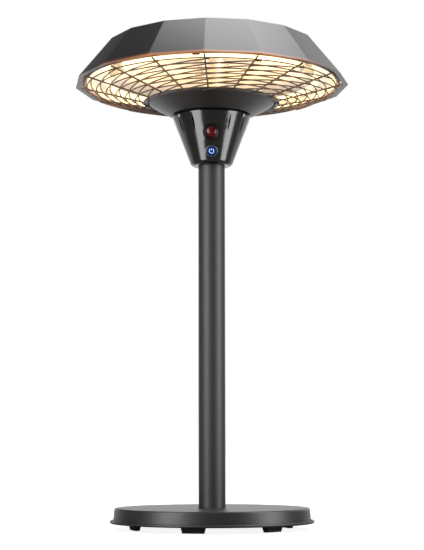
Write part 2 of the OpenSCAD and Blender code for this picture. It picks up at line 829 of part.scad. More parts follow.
module relays() {
    color("#1e4f9c") for (x = relay_x) translate([x - relay_w / 2, power_board_y - seat - relay_d,
        power_board_z + (power_board_h - relay_h) / 2]) cube([relay_w, relay_d, relay_h]);
}

tilt_x = -43;
tilt_y = 8;
tilt_w = 19;
tilt_d = 22;
tilt_h = 26;
tilt_wall = 1.5;
tilt_z = z_floor - seat - tilt_h;
tilt_pivot_z = z_floor - 6;
tilt_bob_r = 4;
tilt_drop = 12;
tilt_pin_r = 1;

module tilt_switch_case() {
    color("#2f3133") difference() {
        translate([tilt_x - tilt_w / 2, tilt_y - tilt_d / 2, tilt_z]) cube([tilt_w, tilt_d, tilt_h]);
        translate([tilt_x - tilt_w / 2 + tilt_wall, tilt_y - tilt_d / 2 + tilt_wall,
            tilt_z + tilt_wall])
            cube([tilt_w - 2 * tilt_wall, tilt_d - 2 * tilt_wall, tilt_h - 2 * tilt_wall]);
        translate([tilt_x, tilt_y - tilt_d, tilt_pivot_z]) rotate([-90, 0, 0])
            cylinder(r = tilt_pin_r, h = 2 * tilt_d);
    }
}

module tilt_switch_pin() {
    color(bright_steel) translate([tilt_x, tilt_y - tilt_d / 2, tilt_pivot_z]) rotate([-90, 0, 0])
        cylinder(r = tilt_pin_r, h = tilt_d);
}

module tilt_switch_weight() {
    color(cast_grey) translate([tilt_x, tilt_y, tilt_pivot_z]) difference() {
        union() {
            translate([0, 4, 0]) rotate([90, 0, 0]) cylinder(r = 2.4, h = 8);
            translate([-1.2, -2, -tilt_drop]) cube([2.4, 4, tilt_drop]);
            translate([0, 7, -tilt_drop]) rotate([90, 0, 0]) cylinder(r = tilt_bob_r, h = 14);
        }
        translate([0, 10, 0]) rotate([90, 0, 0]) cylinder(r = tilt_pin_r + run, h = 20);
    }
}

// ---- Hub ----

collar_r = dish_r - dish_t;
hub_flange_r = dish_r - hub_flange_w;
ring_in_r = dish_r + hub_gap;
ring_out_r = ring_in_r + hub_ring_w;
ring_sheet = 1;
ring_flange_z = z_collar + seat;
z_ring = z_dish + 2.2;                        // height of the rings' layer at the hub ring's edge
guard_tan = (z_rim - guard_drop - z_ring) / (guard_r - ring_out_r);
guard_slope = atan(guard_tan);
guard_screw_r = 1.5;
guard_screw_ring = (hub_flange_r + collar_r) / 2;
lead_hole_r = 11;

// Height of the rings' layer at radius r
function guard_z(r) = z_ring + (r - ring_out_r) * guard_tan;

module hub_dish() {
    color(satin_grey) difference() {
        rotate_extrude() polygon([
            [lead_hole_r, z_floor], [dish_floor_r, z_floor], [dish_r, z_dish], [dish_r, z_collar],
            [hub_flange_r, z_collar], [hub_flange_r, z_collar - dish_t],
            [collar_r, z_collar - dish_t], [collar_r, z_dish + dish_t / 2],
            [dish_floor_r - 0.3, z_floor + dish_t], [lead_hole_r, z_floor + dish_t]]);
        pillar_spots(z_floor - 1) cylinder(r = screw_r + free, h = dish_t + 2);
        ring_of(4, 45) translate([0, -guard_screw_ring, z_collar - dish_t - 1])
            cylinder(r = guard_screw_r + 0.05, h = dish_t + 2);
    }
}

// The guard's inner ring: a sloping band, an upright wall and a flange over the dish's own
module hub_ring() {
    wall_r = ring_in_r + ring_sheet;
    color(charcoal) difference() {
        rotate_extrude() polygon([
            [ring_in_r, guard_z(ring_in_r) - wire_r], [ring_out_r, z_ring - wire_r],
            [ring_out_r, z_ring], [wall_r, guard_z(wall_r)], [wall_r, ring_flange_z + ring_sheet],
            [hub_flange_r, ring_flange_z + ring_sheet], [hub_flange_r, ring_flange_z],
            [ring_in_r, ring_flange_z]]);
        ring_of(4, 45) translate([0, -guard_screw_ring, ring_flange_z - 1])
            cylinder(r = guard_screw_r + free, h = ring_sheet + 2);
    }
}

module guard_screws() {
    color(zinc) ring_of(4, 45) translate([0, -guard_screw_ring, ring_flange_z + ring_sheet + seat])
        mirror([0, 0, 1]) screw(guard_screw_r, ring_sheet + dish_t + 2);
}

// ---- Guard ----

// The wires lie in three layers: the spirals below, the rings on them, the spokes on top.
// The outer ring lies over the ends of the spokes.
spoke_turn = 360 / sides;
wire_r = wire_d / 2;
spoke_r = spoke_d / 2;
rim_wire_r = rim_wire_d / 2;
spiral_lift = -wire_d - seat;
spoke_lift = wire_r + spoke_r + seat;
rim_lift = spoke_lift + spoke_r + rim_wire_r + seat;
ring_lap = 2.8;         // how far inside the hub ring's edge the ring pitch is counted from
first_ring_r = ring_out_r - ring_lap;
ring_count = floor((guard_r - rim_wire_r - wire_d - first_ring_r) / ring_pitch);
rim_ring_z = guard_z(guard_r) + rim_lift / cos(guard_slope);
wire_stop_r = ring_in_r + ring_sheet + 0.2;         // where the wires end at the hub ring's wall

function ring_radius(k) = first_ring_r + k * ring_pitch;

// The point [radius, height] at a height above the rings' layer, across it, at radius r
function above_rings(r, lift) = [r, guard_z(r) + lift / cos(guard_slope)];

module guard_rings() {
    color(charcoal) {
        for (k = [1 : ring_count])
            rotate_extrude() translate([ring_radius(k), guard_z(ring_radius(k))]) circle(r = wire_r);
        rotate_extrude() translate([guard_r, rim_ring_z]) circle(r = rim_wire_r);
    }
}

spoke_in = above_rings(wire_stop_r + spoke_r * sin(guard_slope), spoke_lift);
spoke_out = above_rings(guard_r + 0.4, spoke_lift);

module guard_spokes() {
    color(charcoal) ring_of(sides, head_turn)
        translate([0, -spoke_in[0], spoke_in[1]]) rotate([90 - guard_slope, 0, 0])
            cylinder(r = spoke_r, h = norm(spoke_out - spoke_in));
}

// A spiral wire climbs one ring pitch from each spoke to the next, and crosses the rings there.
// It starts under the hub ring's band and ends just past the last ring.
spiral_steps = 4;       // steps between two spokes
spiral_start = (ring_in_r + wire_r - first_ring_r) / ring_pitch;
spiral_end = ring_count + 0.1;
function spiral_point(s) =
    let (p = above_rings(ring_radius(s), spiral_lift))
    around(p[0], s * spoke_turn) + [0, 0, p[1]];
spiral_path = [
    spiral_point(spiral_start),
    for (i = [0 : spiral_steps * spiral_end]) spiral_point(i / spiral_steps),
    spiral_point(spiral_end)
];

module guard_spirals() {
    color(charcoal) ring_of(sides, head_turn) sweep(spiral_path, wire_r, 6);
}

// Clips, welded over the guard's outer ring, that rest on the canopy's lip
module guard_clips() {
    clip_w = 13;
    clip_t = 1;
    clip_turn = -3.5;   // from a spoke
    lip_top = z_rim + canopy_t + seat;
    ring_top = rim_ring_z + rim_wire_r + seat;
    leg_z = rim_ring_z - 3.2;
    inner_r = guard_r - rim_wire_r - 0.15;
    step_r = guard_r + rim_wire_r + 0.1;
    color(bright_steel) ring_of(4, head_turn + clip_turn) translate([clip_w / 2, 0, 0])
        rotate([90, 0, -90]) linear_extrude(clip_w) polygon([
            [inner_r - clip_t, leg_z], [inner_r, leg_z], [inner_r, ring_top], [step_r, ring_top],
            [step_r, lip_top], [canopy_inner_r - 3, lip_top], [canopy_inner_r - 3, lip_top + clip_t],
            [step_r + clip_t, lip_top + clip_t], [step_r + clip_t, ring_top + clip_t],
            [inner_r - clip_t, ring_top + clip_t]]);
}

// ---- Canopy ----

canopy_inner_r = canopy_r * cos(180 / sides) - canopy_t;
canopy_lip_r = lip_inner_r / cos(180 / sides);
canopy_lean = atan((canopy_r - canopy_top_r) * cos(180 / sides) / canopy_h);
sheet_run = canopy_t / cos(canopy_lean) / cos(180 / sides);
stud_ring_r = column_r + 7;

function corner_ring(r, z) = [for (i = [0 : sides - 1]) around(r, i * 360 / sides) + [0, 0, z]];

// A closed many-sided solid through the rings of corners [radius, height], bottom to top
module faceted_solid(rings) {
    n = len(rings);
    points = [for (q = rings) each corner_ring(q[0], q[1])];
    faces = [
        [for (k = [0 : sides - 1]) k],
        for (i = [0 : n - 2]) for (k = [0 : sides - 1])
            let (k2 = (k + 1) % sides)
            [i * sides + k, (i + 1) * sides + k, (i + 1) * sides + k2, i * sides + k2],
        [for (k = [sides - 1 : -1 : 0]) (n - 1) * sides + k]
    ];
    polyhedron(points = points, faces = faces);
}

module stud_spots(z) {
    ring_of(3, 60) translate([0, -stud_ring_r, z]) children();
}

module canopy() {
    color(charcoal) difference() {
        at_azimuth(head_turn) difference() {
            faceted_solid([[canopy_r, z_rim], [canopy_top_r, z_top], [roof_flat_r, z_roof]]);
            faceted_solid([
                [canopy_r - sheet_run - canopy_t * tan(canopy_lean), z_rim + canopy_t],
                [canopy_top_r - sheet_run + 0.9 * canopy_t * tan(canopy_lean), z_top - 0.9 * canopy_t],
                [roof_flat_r, z_roof - canopy_t]]);
            translate([0, 0, z_rim - 1]) linear_extrude(canopy_t + 2)
                polygon([for (q = corner_ring(canopy_lip_r, 0)) [q[0], q[1]]]);
        }
        stud_spots(z_roof - 5) cylinder(r = bolt_r + free, h = 10);
    }
}

top_flange_t = 3;
top_flange_z = z_roof - canopy_t - seat - top_flange_t;
stud_below = 5;
stud_above = washer_t + 7;

module canopy_studs() {
    color(zinc) stud_spots(top_flange_z - stud_below)
        cylinder(r = bolt_r, h = stud_below + top_flange_t + canopy_t + stud_above);
}

// Cap nuts with a flange underneath
module cap_nuts() {
    nut_h = 5;
    color(bright_steel) stud_spots(z_roof + seat) difference() {
        union() {
            cylinder(r = washer_r, h = washer_t);
            cylinder(r = bolt_head_r, h = washer_t + nut_h, $fn = 6);
            translate([0, 0, washer_t + nut_h]) intersection() {
                sphere(r = bolt_head_r * 0.84);
                cylinder(r = bolt_d, h = bolt_d);
            }
        }
        translate([0, 0, -1]) cylinder(r = bolt_r + 0.05, h = stud_above + 1.2);
    }
}

// ---- Reflector and column ----

z_column = z_floor + dish_t + seat;
column_flange_t = 3;
column_wall = 1.5;
column_flange_r = pillar_ring_r + 5;
lead_exit_z = z_reflector + 14;
collar_t = 3;
collar_out_r = column_r + 9;
reflector_screw_ring = column_r + 5;

// The reflector's section falls along an ellipse from its flat top to its rim
reflector_drop = z_reflector - reflector_rim_z;
arc_steps = 14;
function reflector_z(r) = r < reflector_flat_r ? z_reflector
    : reflector_rim_z + reflector_drop * sqrt(1 - pow((r - reflector_flat_r) / reflector_reach, 2));
function reflector_edge(inset) = [for (i = [0 : arc_steps])
    let (t = i * 90 / arc_steps)
    [reflector_flat_r + (reflector_reach - inset) * sin(t),
     reflector_rim_z + (reflector_drop - inset) * cos(t)]];

module reflector() {
    outer = reflector_edge(0);
    inner = reflector_edge(reflector_t);
    color(mirror_alu) difference() {
        rotate_extrude() polygon([
            [column_r + 0.4, z_reflector], each outer,
            each [for (i = [arc_steps : -1 : 0]) inner[i]],
            [column_r + 0.4, z_reflector - reflector_t]]);
        ring_of(3) translate([0, -reflector_screw_ring, z_reflector - 3])
            cylinder(r = guard_screw_r + free, h = 6);
        ring_of(3, 60) translate([0, -tube_ring_r, z_reflector - 20])
            cylinder(r = screw_r + free, h = 40);
    }
}

module centre_column() {
    color(mirror_alu) difference() {
        union() {
            translate([0, 0, z_column]) cylinder(r = column_flange_r, h = column_flange_t);
            translate([0, 0, z_column]) cylinder(r = column_r, h = top_flange_z - z_column + 1);
            translate([0, 0, top_flange_z]) cylinder(r = stud_ring_r + 7, h = top_flange_t);
        }
        translate([0, 0, z_column + column_flange_t])
            cylinder(r = column_r - column_wall, h = top_flange_z - z_column);
        translate([0, 0, z_column - 1]) cylinder(r = lead_hole_r, h = 10);
        pillar_spots(z_column - 1) cylinder(r = screw_r + free, h = column_flange_t + 2);
        stud_spots(top_flange_z - 1) cylinder(r = bolt_r + 0.05, h = top_flange_t + 2);
        ring_of(3, 60) translate([0, 0, lead_exit_z]) rotate([90, 0, 0]) cylinder(r = 4, h = 2 * column_r);
        translate([0, 0, top_flange_z - 1]) cylinder(r = lead_hole_r, h = 10);
    }
}

module reflector_collar() {
    color(zinc) difference() {
        translate([0, 0, z_reflector + seat]) cylinder(r = collar_out_r, h = collar_t);
        translate([0, 0, z_reflector - 1]) cylinder(r = column_r + 0.05, h = collar_t + 3);
        ring_of(3) translate([0, -reflector_screw_ring, z_reflector - 1])
            cylinder(r = guard_screw_r + 0.05, h = collar_t + 3);
    }
}

module reflector_screws() {
    color(bright_steel) ring_of(3)
        translate([0, -reflector_screw_ring, z_reflector - reflector_t - seat])
            screw(guard_screw_r, reflector_t + collar_t);
}

// ---- Heating tubes ----

tube_r = tube_d / 2;
cap_r = tube_r + 2;
cap_angle = 4.5;
holder_t = 1.4;
holder_screw_l = 12;

// A round bar, or a ring of section r_out less r_in, bent round the pole between two azimuths
module bent_bar(a0, a1, r_out, r_in = 0) {
    at_azimuth(a0 - 90) translate([0, 0, z_tube]) rotate_extrude(angle = a1 - a0)
        translate([tube_ring_r, 0]) difference() {
            circle(r = r_out);
            if (r_in > 0) circle(r = r_in);
        }
}

module quartz_tubes() {
    color(warm_glass, 0.5) ring_of(3)
        bent_bar(-tube_half_angle, tube_half_angle, tube_r, tube_r - tube_wall);
}

module heating_filaments() {
    color(hot_wire) ring_of(3)
        bent_bar(-tube_half_angle + 0.2, tube_half_angle - 0.2, tube_r - tube_wall - 2.4);
}

module tube_end_caps() {
    color(ceramic_white) ring_of(3) {
        bent_bar(tube_half_angle + 0.02, tube_half_angle + cap_angle, cap_r);
        bent_bar(-tube_half_angle - cap_angle, -tube_half_angle - 0.02, cap_r);
    }
}

// A bracket between two tube ends: a ring round each ceramic cap, a bridge and a post
module tube_holders() {
    ring_r = cap_r + run;
    side_a = 60 - tube_half_angle - cap_angle / 2;
    bridge_l = 2 * tube_ring_r * sin(side_a) + 4;
    bridge_w = 10;
    bridge_z = z_tube + ring_r + 0.4;
    post_top = reflector_z(tube_ring_r + 4) - reflector_t - 0.3;
    color(bright_steel) ring_of(3, 60) difference() {
        union() {
            for (s = [-1, 1]) bent_bar(s * side_a - 1, s * side_a + 1, ring_r + holder_t, ring_r);
            translate([-bridge_l / 2, -tube_ring_r - bridge_w / 2, bridge_z])
                cube([bridge_l, bridge_w, holder_t + 0.6]);
            translate([0, -tube_ring_r, bridge_z]) cylinder(r = 2 * screw_r, h = post_top - bridge_z);
        }
        translate([0, -tube_ring_r, post_top - holder_screw_l])
            cylinder(r = screw_r + 0.05, h = 2 * holder_screw_l);
    }
}

module holder_screws() {
    head_z = reflector_z(tube_ring_r - 1.8 * screw_r) + 0.1;
    color(zinc) ring_of(3, 60) translate([0, -tube_ring_r, head_z]) mirror([0, 0, 1])
        screw(screw_r, holder_screw_l);
}

// ---- Leads ----

// The supply lead takes over behind the gland, and runs along the ballast's channel and up the pole
supply_bend_r = 26;
supply_low_z = ballast_low + 3.2 + lead_r;

module supply_lead() {
    color(lead_black) sweep(rounded_route([
        [0, gland_in_y - free, gland_z], [0, gland_in_y - 12, gland_z],
        [0, gland_in_y - 40, supply_low_z], [0, 0, supply_low_z], [0, 0, z_block - seat]
    ], supply_bend_r), lead_r, 12);
}

lead_wire_r = 1.8;
lead_in_r = 5;
lead_gap = 0.5;
lead_run_z = z_reflector + lead_wire_r + lead_gap;
lead_end_r = tube_ring_r - 16;

// A point of a lamp lead where it lies on the reflector at radius r
function lead_over(r) = [0, -r, reflector_z(r) + lead_wire_r + lead_gap];

module lamp_leads() {
    color(lead_white) ring_of(3, 60) sweep(rounded_route([
        [0, -lead_in_r, z_block + block_h + seat], [0, -lead_in_r, lead_exit_z],
        [0, -column_r - 11, lead_exit_z], [0, -column_r - 24, lead_run_z],
        lead_over(reflector_flat_r), lead_over((reflector_flat_r + lead_end_r) / 2),
        lead_over(lead_end_r)
    ], 7), lead_wire_r, 8);
}

module signal_lead() {
    up = z_pillar + 45;
    color(lead_black) sweep(rounded_route([
        [8, -housing_at(up - 5) + (board_depth + board_t) / cos(housing_rake) + 1.6, up - 8],
        [9, -26, up], [11, 8, up + 5], [11, power_board_y - 0.6, up + 5]
    ], 8), 1.4, 8);
}

base_cover();
base_ballast();
base_plate();
rubber_feet();
foot_screws();
base_bolts();
bolt_washers();
cable_gland();
gland_nut();
supply_lead();
pole();
pole_foot_plug();
neck_flange();
head_pillars();
lower_pillar_screws();
upper_pillar_screws();
control_housing();
housing_tabs();
housing_screws();
receiver_bezel();
receiver_lens();
ir_sensor();
button_bezel();
power_button();
switch_plunger();
tact_switch();
status_leds();
control_board();
board_screws();
terminal_spacers();
terminal_block();
terminal_screws();
block_screws();
power_board();
power_board_screws();
relays();
signal_lead();
tilt_switch_case();
tilt_switch_pin();
tilt_switch_weight();
hub_dish();
hub_ring();
guard_screws();
guard_rings();
guard_spokes();
guard_spirals();
guard_clips();
centre_column();
reflector();
reflector_collar();
reflector_screws();
quartz_tubes();
heating_filaments();
tube_end_caps();
tube_holders();
holder_screws();
lamp_leads();
canopy();
canopy_studs();
cap_nuts();
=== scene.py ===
"""Looks of a table-top patio heater: finishes, lamps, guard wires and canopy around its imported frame."""

import json
from math import atan2, cos, pi, radians, sin, sqrt, tan

import bmesh
import bpy
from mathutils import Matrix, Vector


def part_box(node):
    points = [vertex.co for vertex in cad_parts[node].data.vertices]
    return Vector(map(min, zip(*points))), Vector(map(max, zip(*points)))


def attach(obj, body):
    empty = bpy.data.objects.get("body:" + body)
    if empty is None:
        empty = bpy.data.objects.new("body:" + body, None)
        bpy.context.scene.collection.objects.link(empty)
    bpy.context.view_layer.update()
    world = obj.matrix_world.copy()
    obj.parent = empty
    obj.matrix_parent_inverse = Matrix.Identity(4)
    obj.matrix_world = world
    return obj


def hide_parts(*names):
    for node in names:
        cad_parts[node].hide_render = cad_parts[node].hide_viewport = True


bl_info = {
    "name": "Table-top patio heater",
    "version": (1, 0, 0),
    "blender": (4, 5, 0),
    "location": "3D View > Sidebar > Heater",
    "description": "Dresses the packed frame of a table-top patio heater",
    "category": "Object",
}

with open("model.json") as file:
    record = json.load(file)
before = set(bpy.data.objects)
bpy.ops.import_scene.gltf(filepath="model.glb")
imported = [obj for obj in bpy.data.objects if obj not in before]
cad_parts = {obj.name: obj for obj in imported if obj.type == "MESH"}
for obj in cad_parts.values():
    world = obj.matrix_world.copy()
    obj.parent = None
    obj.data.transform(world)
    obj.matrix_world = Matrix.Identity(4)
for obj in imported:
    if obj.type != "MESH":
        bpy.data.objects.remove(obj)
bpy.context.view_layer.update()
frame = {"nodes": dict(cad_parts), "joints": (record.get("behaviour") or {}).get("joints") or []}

MM = 0.001
BODY = "heater"
BUTTON = "button"
HEAD_TURN = -2.9          # degrees that the canopy and guard are turned about the pole
NOISE_LOW, NOISE_HIGH = 0.3, 0.7          # nearly all values of a noise texture lie between these


def low(node):
    """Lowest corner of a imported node's box."""
    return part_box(node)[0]


def high(node):
    """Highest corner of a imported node's box."""
    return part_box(node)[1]


# ---- Properties -------------------------------------------------------------------------------

def length(name, description, default):
    """A length property, with its default in metres."""
    return bpy.props.FloatProperty(
        name=name, description=description, default=default, min=0.0, unit="LENGTH", precision=4)


def angle(name, description, default):
    """An angle property, with its default in degrees."""
    return bpy.props.FloatProperty(
        name=name, description=description, default=radians(default), subtype="ANGLE")


def colour(name, description, default):
    """A colour property, written as an sRGB hex value."""
    return bpy.props.StringProperty(name=name, description=description, default=default)


def level(name, description, default):
    """A light level, where 1 is white."""
    return bpy.props.FloatProperty(name=name, description=description, default=default, min=0.0)


class HeaterSizes(bpy.types.PropertyGroup):
    """Sizes of the pieces that are modelled here."""

    sides: bpy.props.IntProperty(
        name="Canopy sides", description="Number of sides of the canopy", default=16, min=8)
    head_turn: angle("Head turn", "Turn of the canopy and guard about the pole", HEAD_TURN)
    canopy_r: length("Canopy radius", "Pole axis to a lower corner",
                     high("canopy").x / cos(radians(HEAD_TURN)))
    side_run: length("Side run", "How far the upper corners lie inside the lower ones", 60.7 * MM)
    side_h: length("Side height", "Height of the canopy's sloping sides", 75 * MM)
    sheet: length("Canopy sheet", "Thickness of the canopy's sheet", 1.2 * MM)
    lip_w: length("Canopy lip", "Width of the lip turned in round the edge", 9.2 * MM)
    roof_r: length("Roof radius", "Pole axis to a corner of the flat roof", 54 * MM)
    crease: length("Crease", "Width of the rounding along a pressed crease", 1.3 * MM)
    ring_pitch: length("Ring pitch", "Distance between two guard rings", 17.6 * MM)
    ring_wire: length("Ring wire", "Diameter of the ring and spiral wires", 2.3 * MM)
    spoke_wire: length("Spoke wire", "Diameter of the spokes", 3.0 * MM)
    rim_wire: length("Rim wire", "Diameter of the outer ring's wire", 2.4 * MM)
    coil_pitch: length("Coil pitch", "Distance between two turns of a filament", 1.8 * MM)
    coil_wire: length("Coil wire", "Diameter of a filament's wire", 0.7 * MM)
    symbol_r: length("Symbol radius", "Radius of the power symbol's arc", 4.1 * MM)
    symbol_w: length("Symbol line", "Line width of the power symbol", 0.9 * MM)


class HeaterColours(bpy.types.PropertyGroup):
    """Colours of the finishes."""

    anthracite: colour("Anthracite", "Powder coat of the canopy, pole and base", "#2d2b2c")
    dish: colour("Dish", "Stoved enamel of the hub's dish", "#2b2624")
    gloss_black: colour("Gloss black", "Lacquer of the control housing", "#101011")
    wire: colour("Guard wire", "Enamel of the guard's wires", "#5e4838")
    rubber: colour("Rubber", "Feet and the leads' sheaths", "#252527")
    zinc: colour("Zinc", "Plated brackets and fasteners", "#a9abae")
    steel: colour("Stainless", "Stainless screws, nuts and clips", "#c4c4c2")
    aluminium: colour("Aluminium", "Spun reflector and column", "#f2efe8")
    lens: colour("Receiver lens", "Red polycarbonate", "#700a13")
    button: colour("Button", "Lit blue cap", "#083088")
    symbol: colour("Symbol", "Light of the power symbol", "#a4d0ff")
    glow: colour("Glow", "Light of the halogen tubes", "#ffd498")
    glow_seen: colour("Glow, seen", "Colour of a tube in view", "#fff0b8")


class HeaterLights(bpy.types.PropertyGroup):
    """Levels of the studio's lamps and of the heater's own light."""

    sky: level("Sky", "Plain light from all round", 0.5)
    top: level("Top", "Overhead softbox", 2.4)
    sheen: level("Sheen", "The softbox's brighter part, seen in reflections", 2.5)
    strips: level("Strips", "Strip lights at the sides, seen in reflections", 6.8)
    fill: level("Fill", "Softbox behind on the right, seen in reflections", 1.0)
    tube: level("Tube", "Light that a quartz tube casts", 9.5)
    tube_seen: level("Tube, seen", "Glow of a quartz tube as the camera sees it", 1.3)
    filament: level("Filament", "Glow of a filament", 4.0)
    button: level("Button", "Light in the button's cap", 0.1)
    symbol: level("Symbol", "Light of the power symbol", 1.6)


# ---- Material helpers -------------------------------------------------------------------------

def linear(hex_value):
    """An sRGB hex value as a linear RGBA colour."""
    parts = [int(hex_value[i:i + 2], 16) / 255 for i in (1, 3, 5)]
    return tuple(c / 12.92 if c <= 0.04045 else ((c + 0.055) / 1.055) ** 2.4 for c in parts) + (1.0,)


def shaded(rgba, factor):
    """A colour made lighter or darker."""
    return tuple(min(c * factor, 1.0) for c in rgba[:3]) + (1.0,)


def add(tree, kind, inputs=None, links=None, **fields):
    """Adds one node: fields are its settings, inputs its values, links the sockets that feed it."""
    node = tree.nodes.new(kind)
    for field, value in fields.items():
        setattr(node, field, value)
    for socket, value in (inputs or {}).items():
        node.inputs[socket].default_value = value
    for socket, source in (links or {}).items():
        tree.links.new(source, node.inputs[socket])
    return node


def blank(name):
    """A new material, its empty node tree and the surface socket of its output."""
    material = bpy.data.materials.new(name)
    material.use_nodes = True
    material.node_tree.nodes.clear()
    output = add(material.node_tree, "ShaderNodeOutputMaterial")
    return material, material.node_tree, output.inputs["Surface"]


def solid_finish(name, tint, roughness, grain, spread=0.12, uneven=0.05, lift=0.0, stretch=(1, 1, 1),
                 detail=3.0, **shader):
    """A finish whose grain, in millimetres, varies colour and roughness and lifts the surface.

    spread is the share by which the colour varies, uneven the swing of the roughness, lift the
    height of the grain in millimetres, and stretch draws the grain out across an axis. The real
    grains of coats, enamels and mouldings are finer: they are drawn as coarse as they need to show.
    What shader holds is set on the shader's own sockets."""
    material, tree, surface = blank(name)
    place = add(tree, "ShaderNodeTexCoord")
    scaled = add(tree, "ShaderNodeMapping", {"Scale": stretch}, {"Vector": place.outputs["Object"]})
    noise = add(tree, "ShaderNodeTexNoise", {"Scale": 1 / (grain * MM), "Detail": detail},
                {"Vector": scaled.outputs["Vector"]})
    base = linear(tint)
    tone = add(tree, "ShaderNodeValToRGB", None, {"Fac": noise.outputs["Fac"]})
    stops = zip(tone.color_ramp.elements, (NOISE_LOW, NOISE_HIGH), (1 - spread, 1 + spread))
    for stop, position, factor in stops:
        stop.position = position
        stop.color = shaded(base, factor)
    principled = add(tree, "ShaderNodeBsdfPrincipled", {"Roughness": roughness, **shader},
                     {"Base Color": tone.outputs["Color"]})
    if uneven:
        rough = add(tree, "ShaderNodeMapRange",
                    {"From Min": NOISE_LOW, "From Max": NOISE_HIGH,
                     "To Min": roughness - uneven, "To Max": roughness + uneven},
                    {"Value": noise.outputs["Fac"]})
        tree.links.new(rough.outputs["Result"], principled.inputs["Roughness"])
    if lift:
        bump = add(tree, "ShaderNodeBump", {"Strength": 1.0, "Distance": lift * MM},
                   {"Height": noise.outputs["Fac"]})
        tree.links.new(bump.outputs["Normal"], principled.inputs["Normal"])
    tree.links.new(principled.outputs["BSDF"], surface)
    return material


# ---- Finishes ---------------------------------------------------------------------------------

def powder_coat(name, colours, roughness):
    """Polyester powder coat: baked grains leave a faint pebbled skin, so highlights spread wide."""
    return solid_finish(name, colours.anthracite, roughness, grain=1.2, spread=0.06, uneven=0.03,
                        lift=0.012)


def canopy_coat_painted_glow(colours):
    """The same powder coat with painted light: a warm painted glow on the last millimetres of the front's
    rim, and a painted glow standing in for the tubes' light on the inner side of the rear wall."""
    material = solid_finish("powder_coated_canopy_painted_glow", colours.anthracite, 0.34, grain=1.2, spread=0.06,
                            uneven=0, lift=0.012)
    tree = material.node_tree
    place = add(tree, "ShaderNodeTexCoord")
    spot = add(tree, "ShaderNodeSeparateXYZ", None, {"Vector": place.outputs["Object"]})
    rim = low("canopy").z
    # painted glow: a warm emission on the front's rim, fading out over its lowest millimetres
    edge_h, painted_rim_glow = 6 * MM, 0.38
    near = add(tree, "ShaderNodeMapRange",
               {"From Min": rim, "From Max": rim + edge_h, "To Min": painted_rim_glow, "To Max": 0.0},
               {"Value": spot.outputs["Z"]}, interpolation_type="SMOOTHSTEP")
    front_from, front_to = -140 * MM, -225 * MM
    front = add(tree, "ShaderNodeMapRange", {"From Min": front_from, "From Max": front_to},
                {"Value": spot.outputs["Y"]})
    form = add(tree, "ShaderNodeNewGeometry")
    facing = add(tree, "ShaderNodeSeparateXYZ", None, {"Vector": form.outputs["True Normal"]})
    # painted glow standing in for the tubes' light on the inner side of the rear wall, fading upward
    wall_slope, wall_swing = -0.62, 0.2          # Z of the normals of the sides' inner faces
    inner = add(tree, "ShaderNodeMath", {1: wall_slope, 2: wall_swing}, {0: facing.outputs["Z"]},
                operation="COMPARE")
    wall_h, wall_low, wall_high = 24 * MM, 0.75, 0.4
    painted_wall_glow = add(tree, "ShaderNodeMapRange",
                {"From Min": rim, "From Max": rim + wall_h, "To Min": wall_low, "To Max": wall_high},
                {"Value": spot.outputs["Z"]})
    rear_from, rear_to = -10 * MM, 70 * MM
    rear = add(tree, "ShaderNodeMapRange", {"From Min": rear_from, "From Max": rear_to},
               {"Value": spot.outputs["Y"]})
    lit = add(tree, "ShaderNodeMath", None, {0: inner.outputs["Value"], 1: rear.outputs["Result"]},
              operation="MULTIPLY")
    inside = add(tree, "ShaderNodeMath", None, {0: painted_wall_glow.outputs["Result"], 1: lit.outputs["Value"]},
                 operation="MULTIPLY")
    # colours of the painted glow: orange on the rim, pale pink on the inner wall
    tint = add(tree, "ShaderNodeMix", {"A": linear("#ff9a54"), "B": linear("#ffd2b4")},
               {"Factor": inner.outputs["Value"]}, data_type="RGBA")
    painted_glow = add(tree, "ShaderNodeMath", None,
                 {0: near.outputs["Result"], 1: front.outputs["Result"], 2: inside.outputs["Value"]},
                 operation="MULTIPLY_ADD")
    principled = tree.nodes["Principled BSDF"]
    tree.links.new(tint.outputs["Result"], principled.inputs["Emission Color"])
    tree.links.new(painted_glow.outputs["Value"], principled.inputs["Emission Strength"])
    return material


def dish_enamel(colours):
    """Stoved enamel on a pressed dish: satin, and a little browner than the powder coat."""
    return solid_finish("stoved_enamel_dish", colours.dish, 0.4, grain=2.0, spread=0.08, uneven=0.03,
                        lift=0.006)


def gloss_lacquer(colours):
    """Sprayed gloss lacquer over a moulded cone: sharp reflections with a slight orange peel."""
    return solid_finish("gloss_lacquer", colours.gloss_black, 0.17, grain=3.5, spread=0.05, uneven=0.02,
                        lift=0.01)


def black_chrome():
    """Black chrome plated on a moulded ring: dark metal whose edges catch the lamps as bright arcs."""
    return solid_finish("black_chromed_bezel", "#6a6c72", 0.2, grain=1.0, spread=0.05, uneven=0.04,
                        Metallic=1.0)


def wire_enamel(colours):
    """Dipped heat-proof enamel on drawn wire: matt, with small runs in the colour."""
    return solid_finish("dipped_wire_enamel", colours.wire, 0.55, grain=3.0, spread=0.2, uneven=0.06,
                        lift=0.02)


def moulded_rubber(colours):
    """Compression-moulded rubber: matt, dusty black with a fine grain."""
    return solid_finish("moulded_rubber", colours.rubber, 0.72, grain=1.0, spread=0.15, lift=0.04)


def hub_enamel():
    """Stoved enamel on the pressed hub ring: satin and a little paler, as the heat leaves it."""
    return solid_finish("stoved_enamel_hub_ring", "#4a4542", 0.45, grain=1.5, spread=0.08, uneven=0.04,
                        lift=0.008)


def moulded_plastic(name, tint):
    """Injection-moulded nylon, ABS or acetal: fine spark-eroded grain, a soft sheen."""
    return solid_finish(name, tint, 0.5, grain=0.8, spread=0.08, lift=0.02)


def zinc_plate(colours):
    """Bright zinc plate on pressed steel: greyish metal with cloudy passivation."""
    return solid_finish("zinc_plated_steel", colours.zinc, 0.34, grain=5.0, spread=0.12, uneven=0.08,
                        lift=0.01, Metallic=1.0)


def stainless(colours):
    """Turned and pressed stainless steel: clean metal with fine tool lines."""
    return solid_finish("turned_stainless_steel", colours.steel, 0.24, grain=0.6, spread=0.05,
                        uneven=0.06, lift=0.004, stretch=(1, 1, 6), Metallic=1.0)


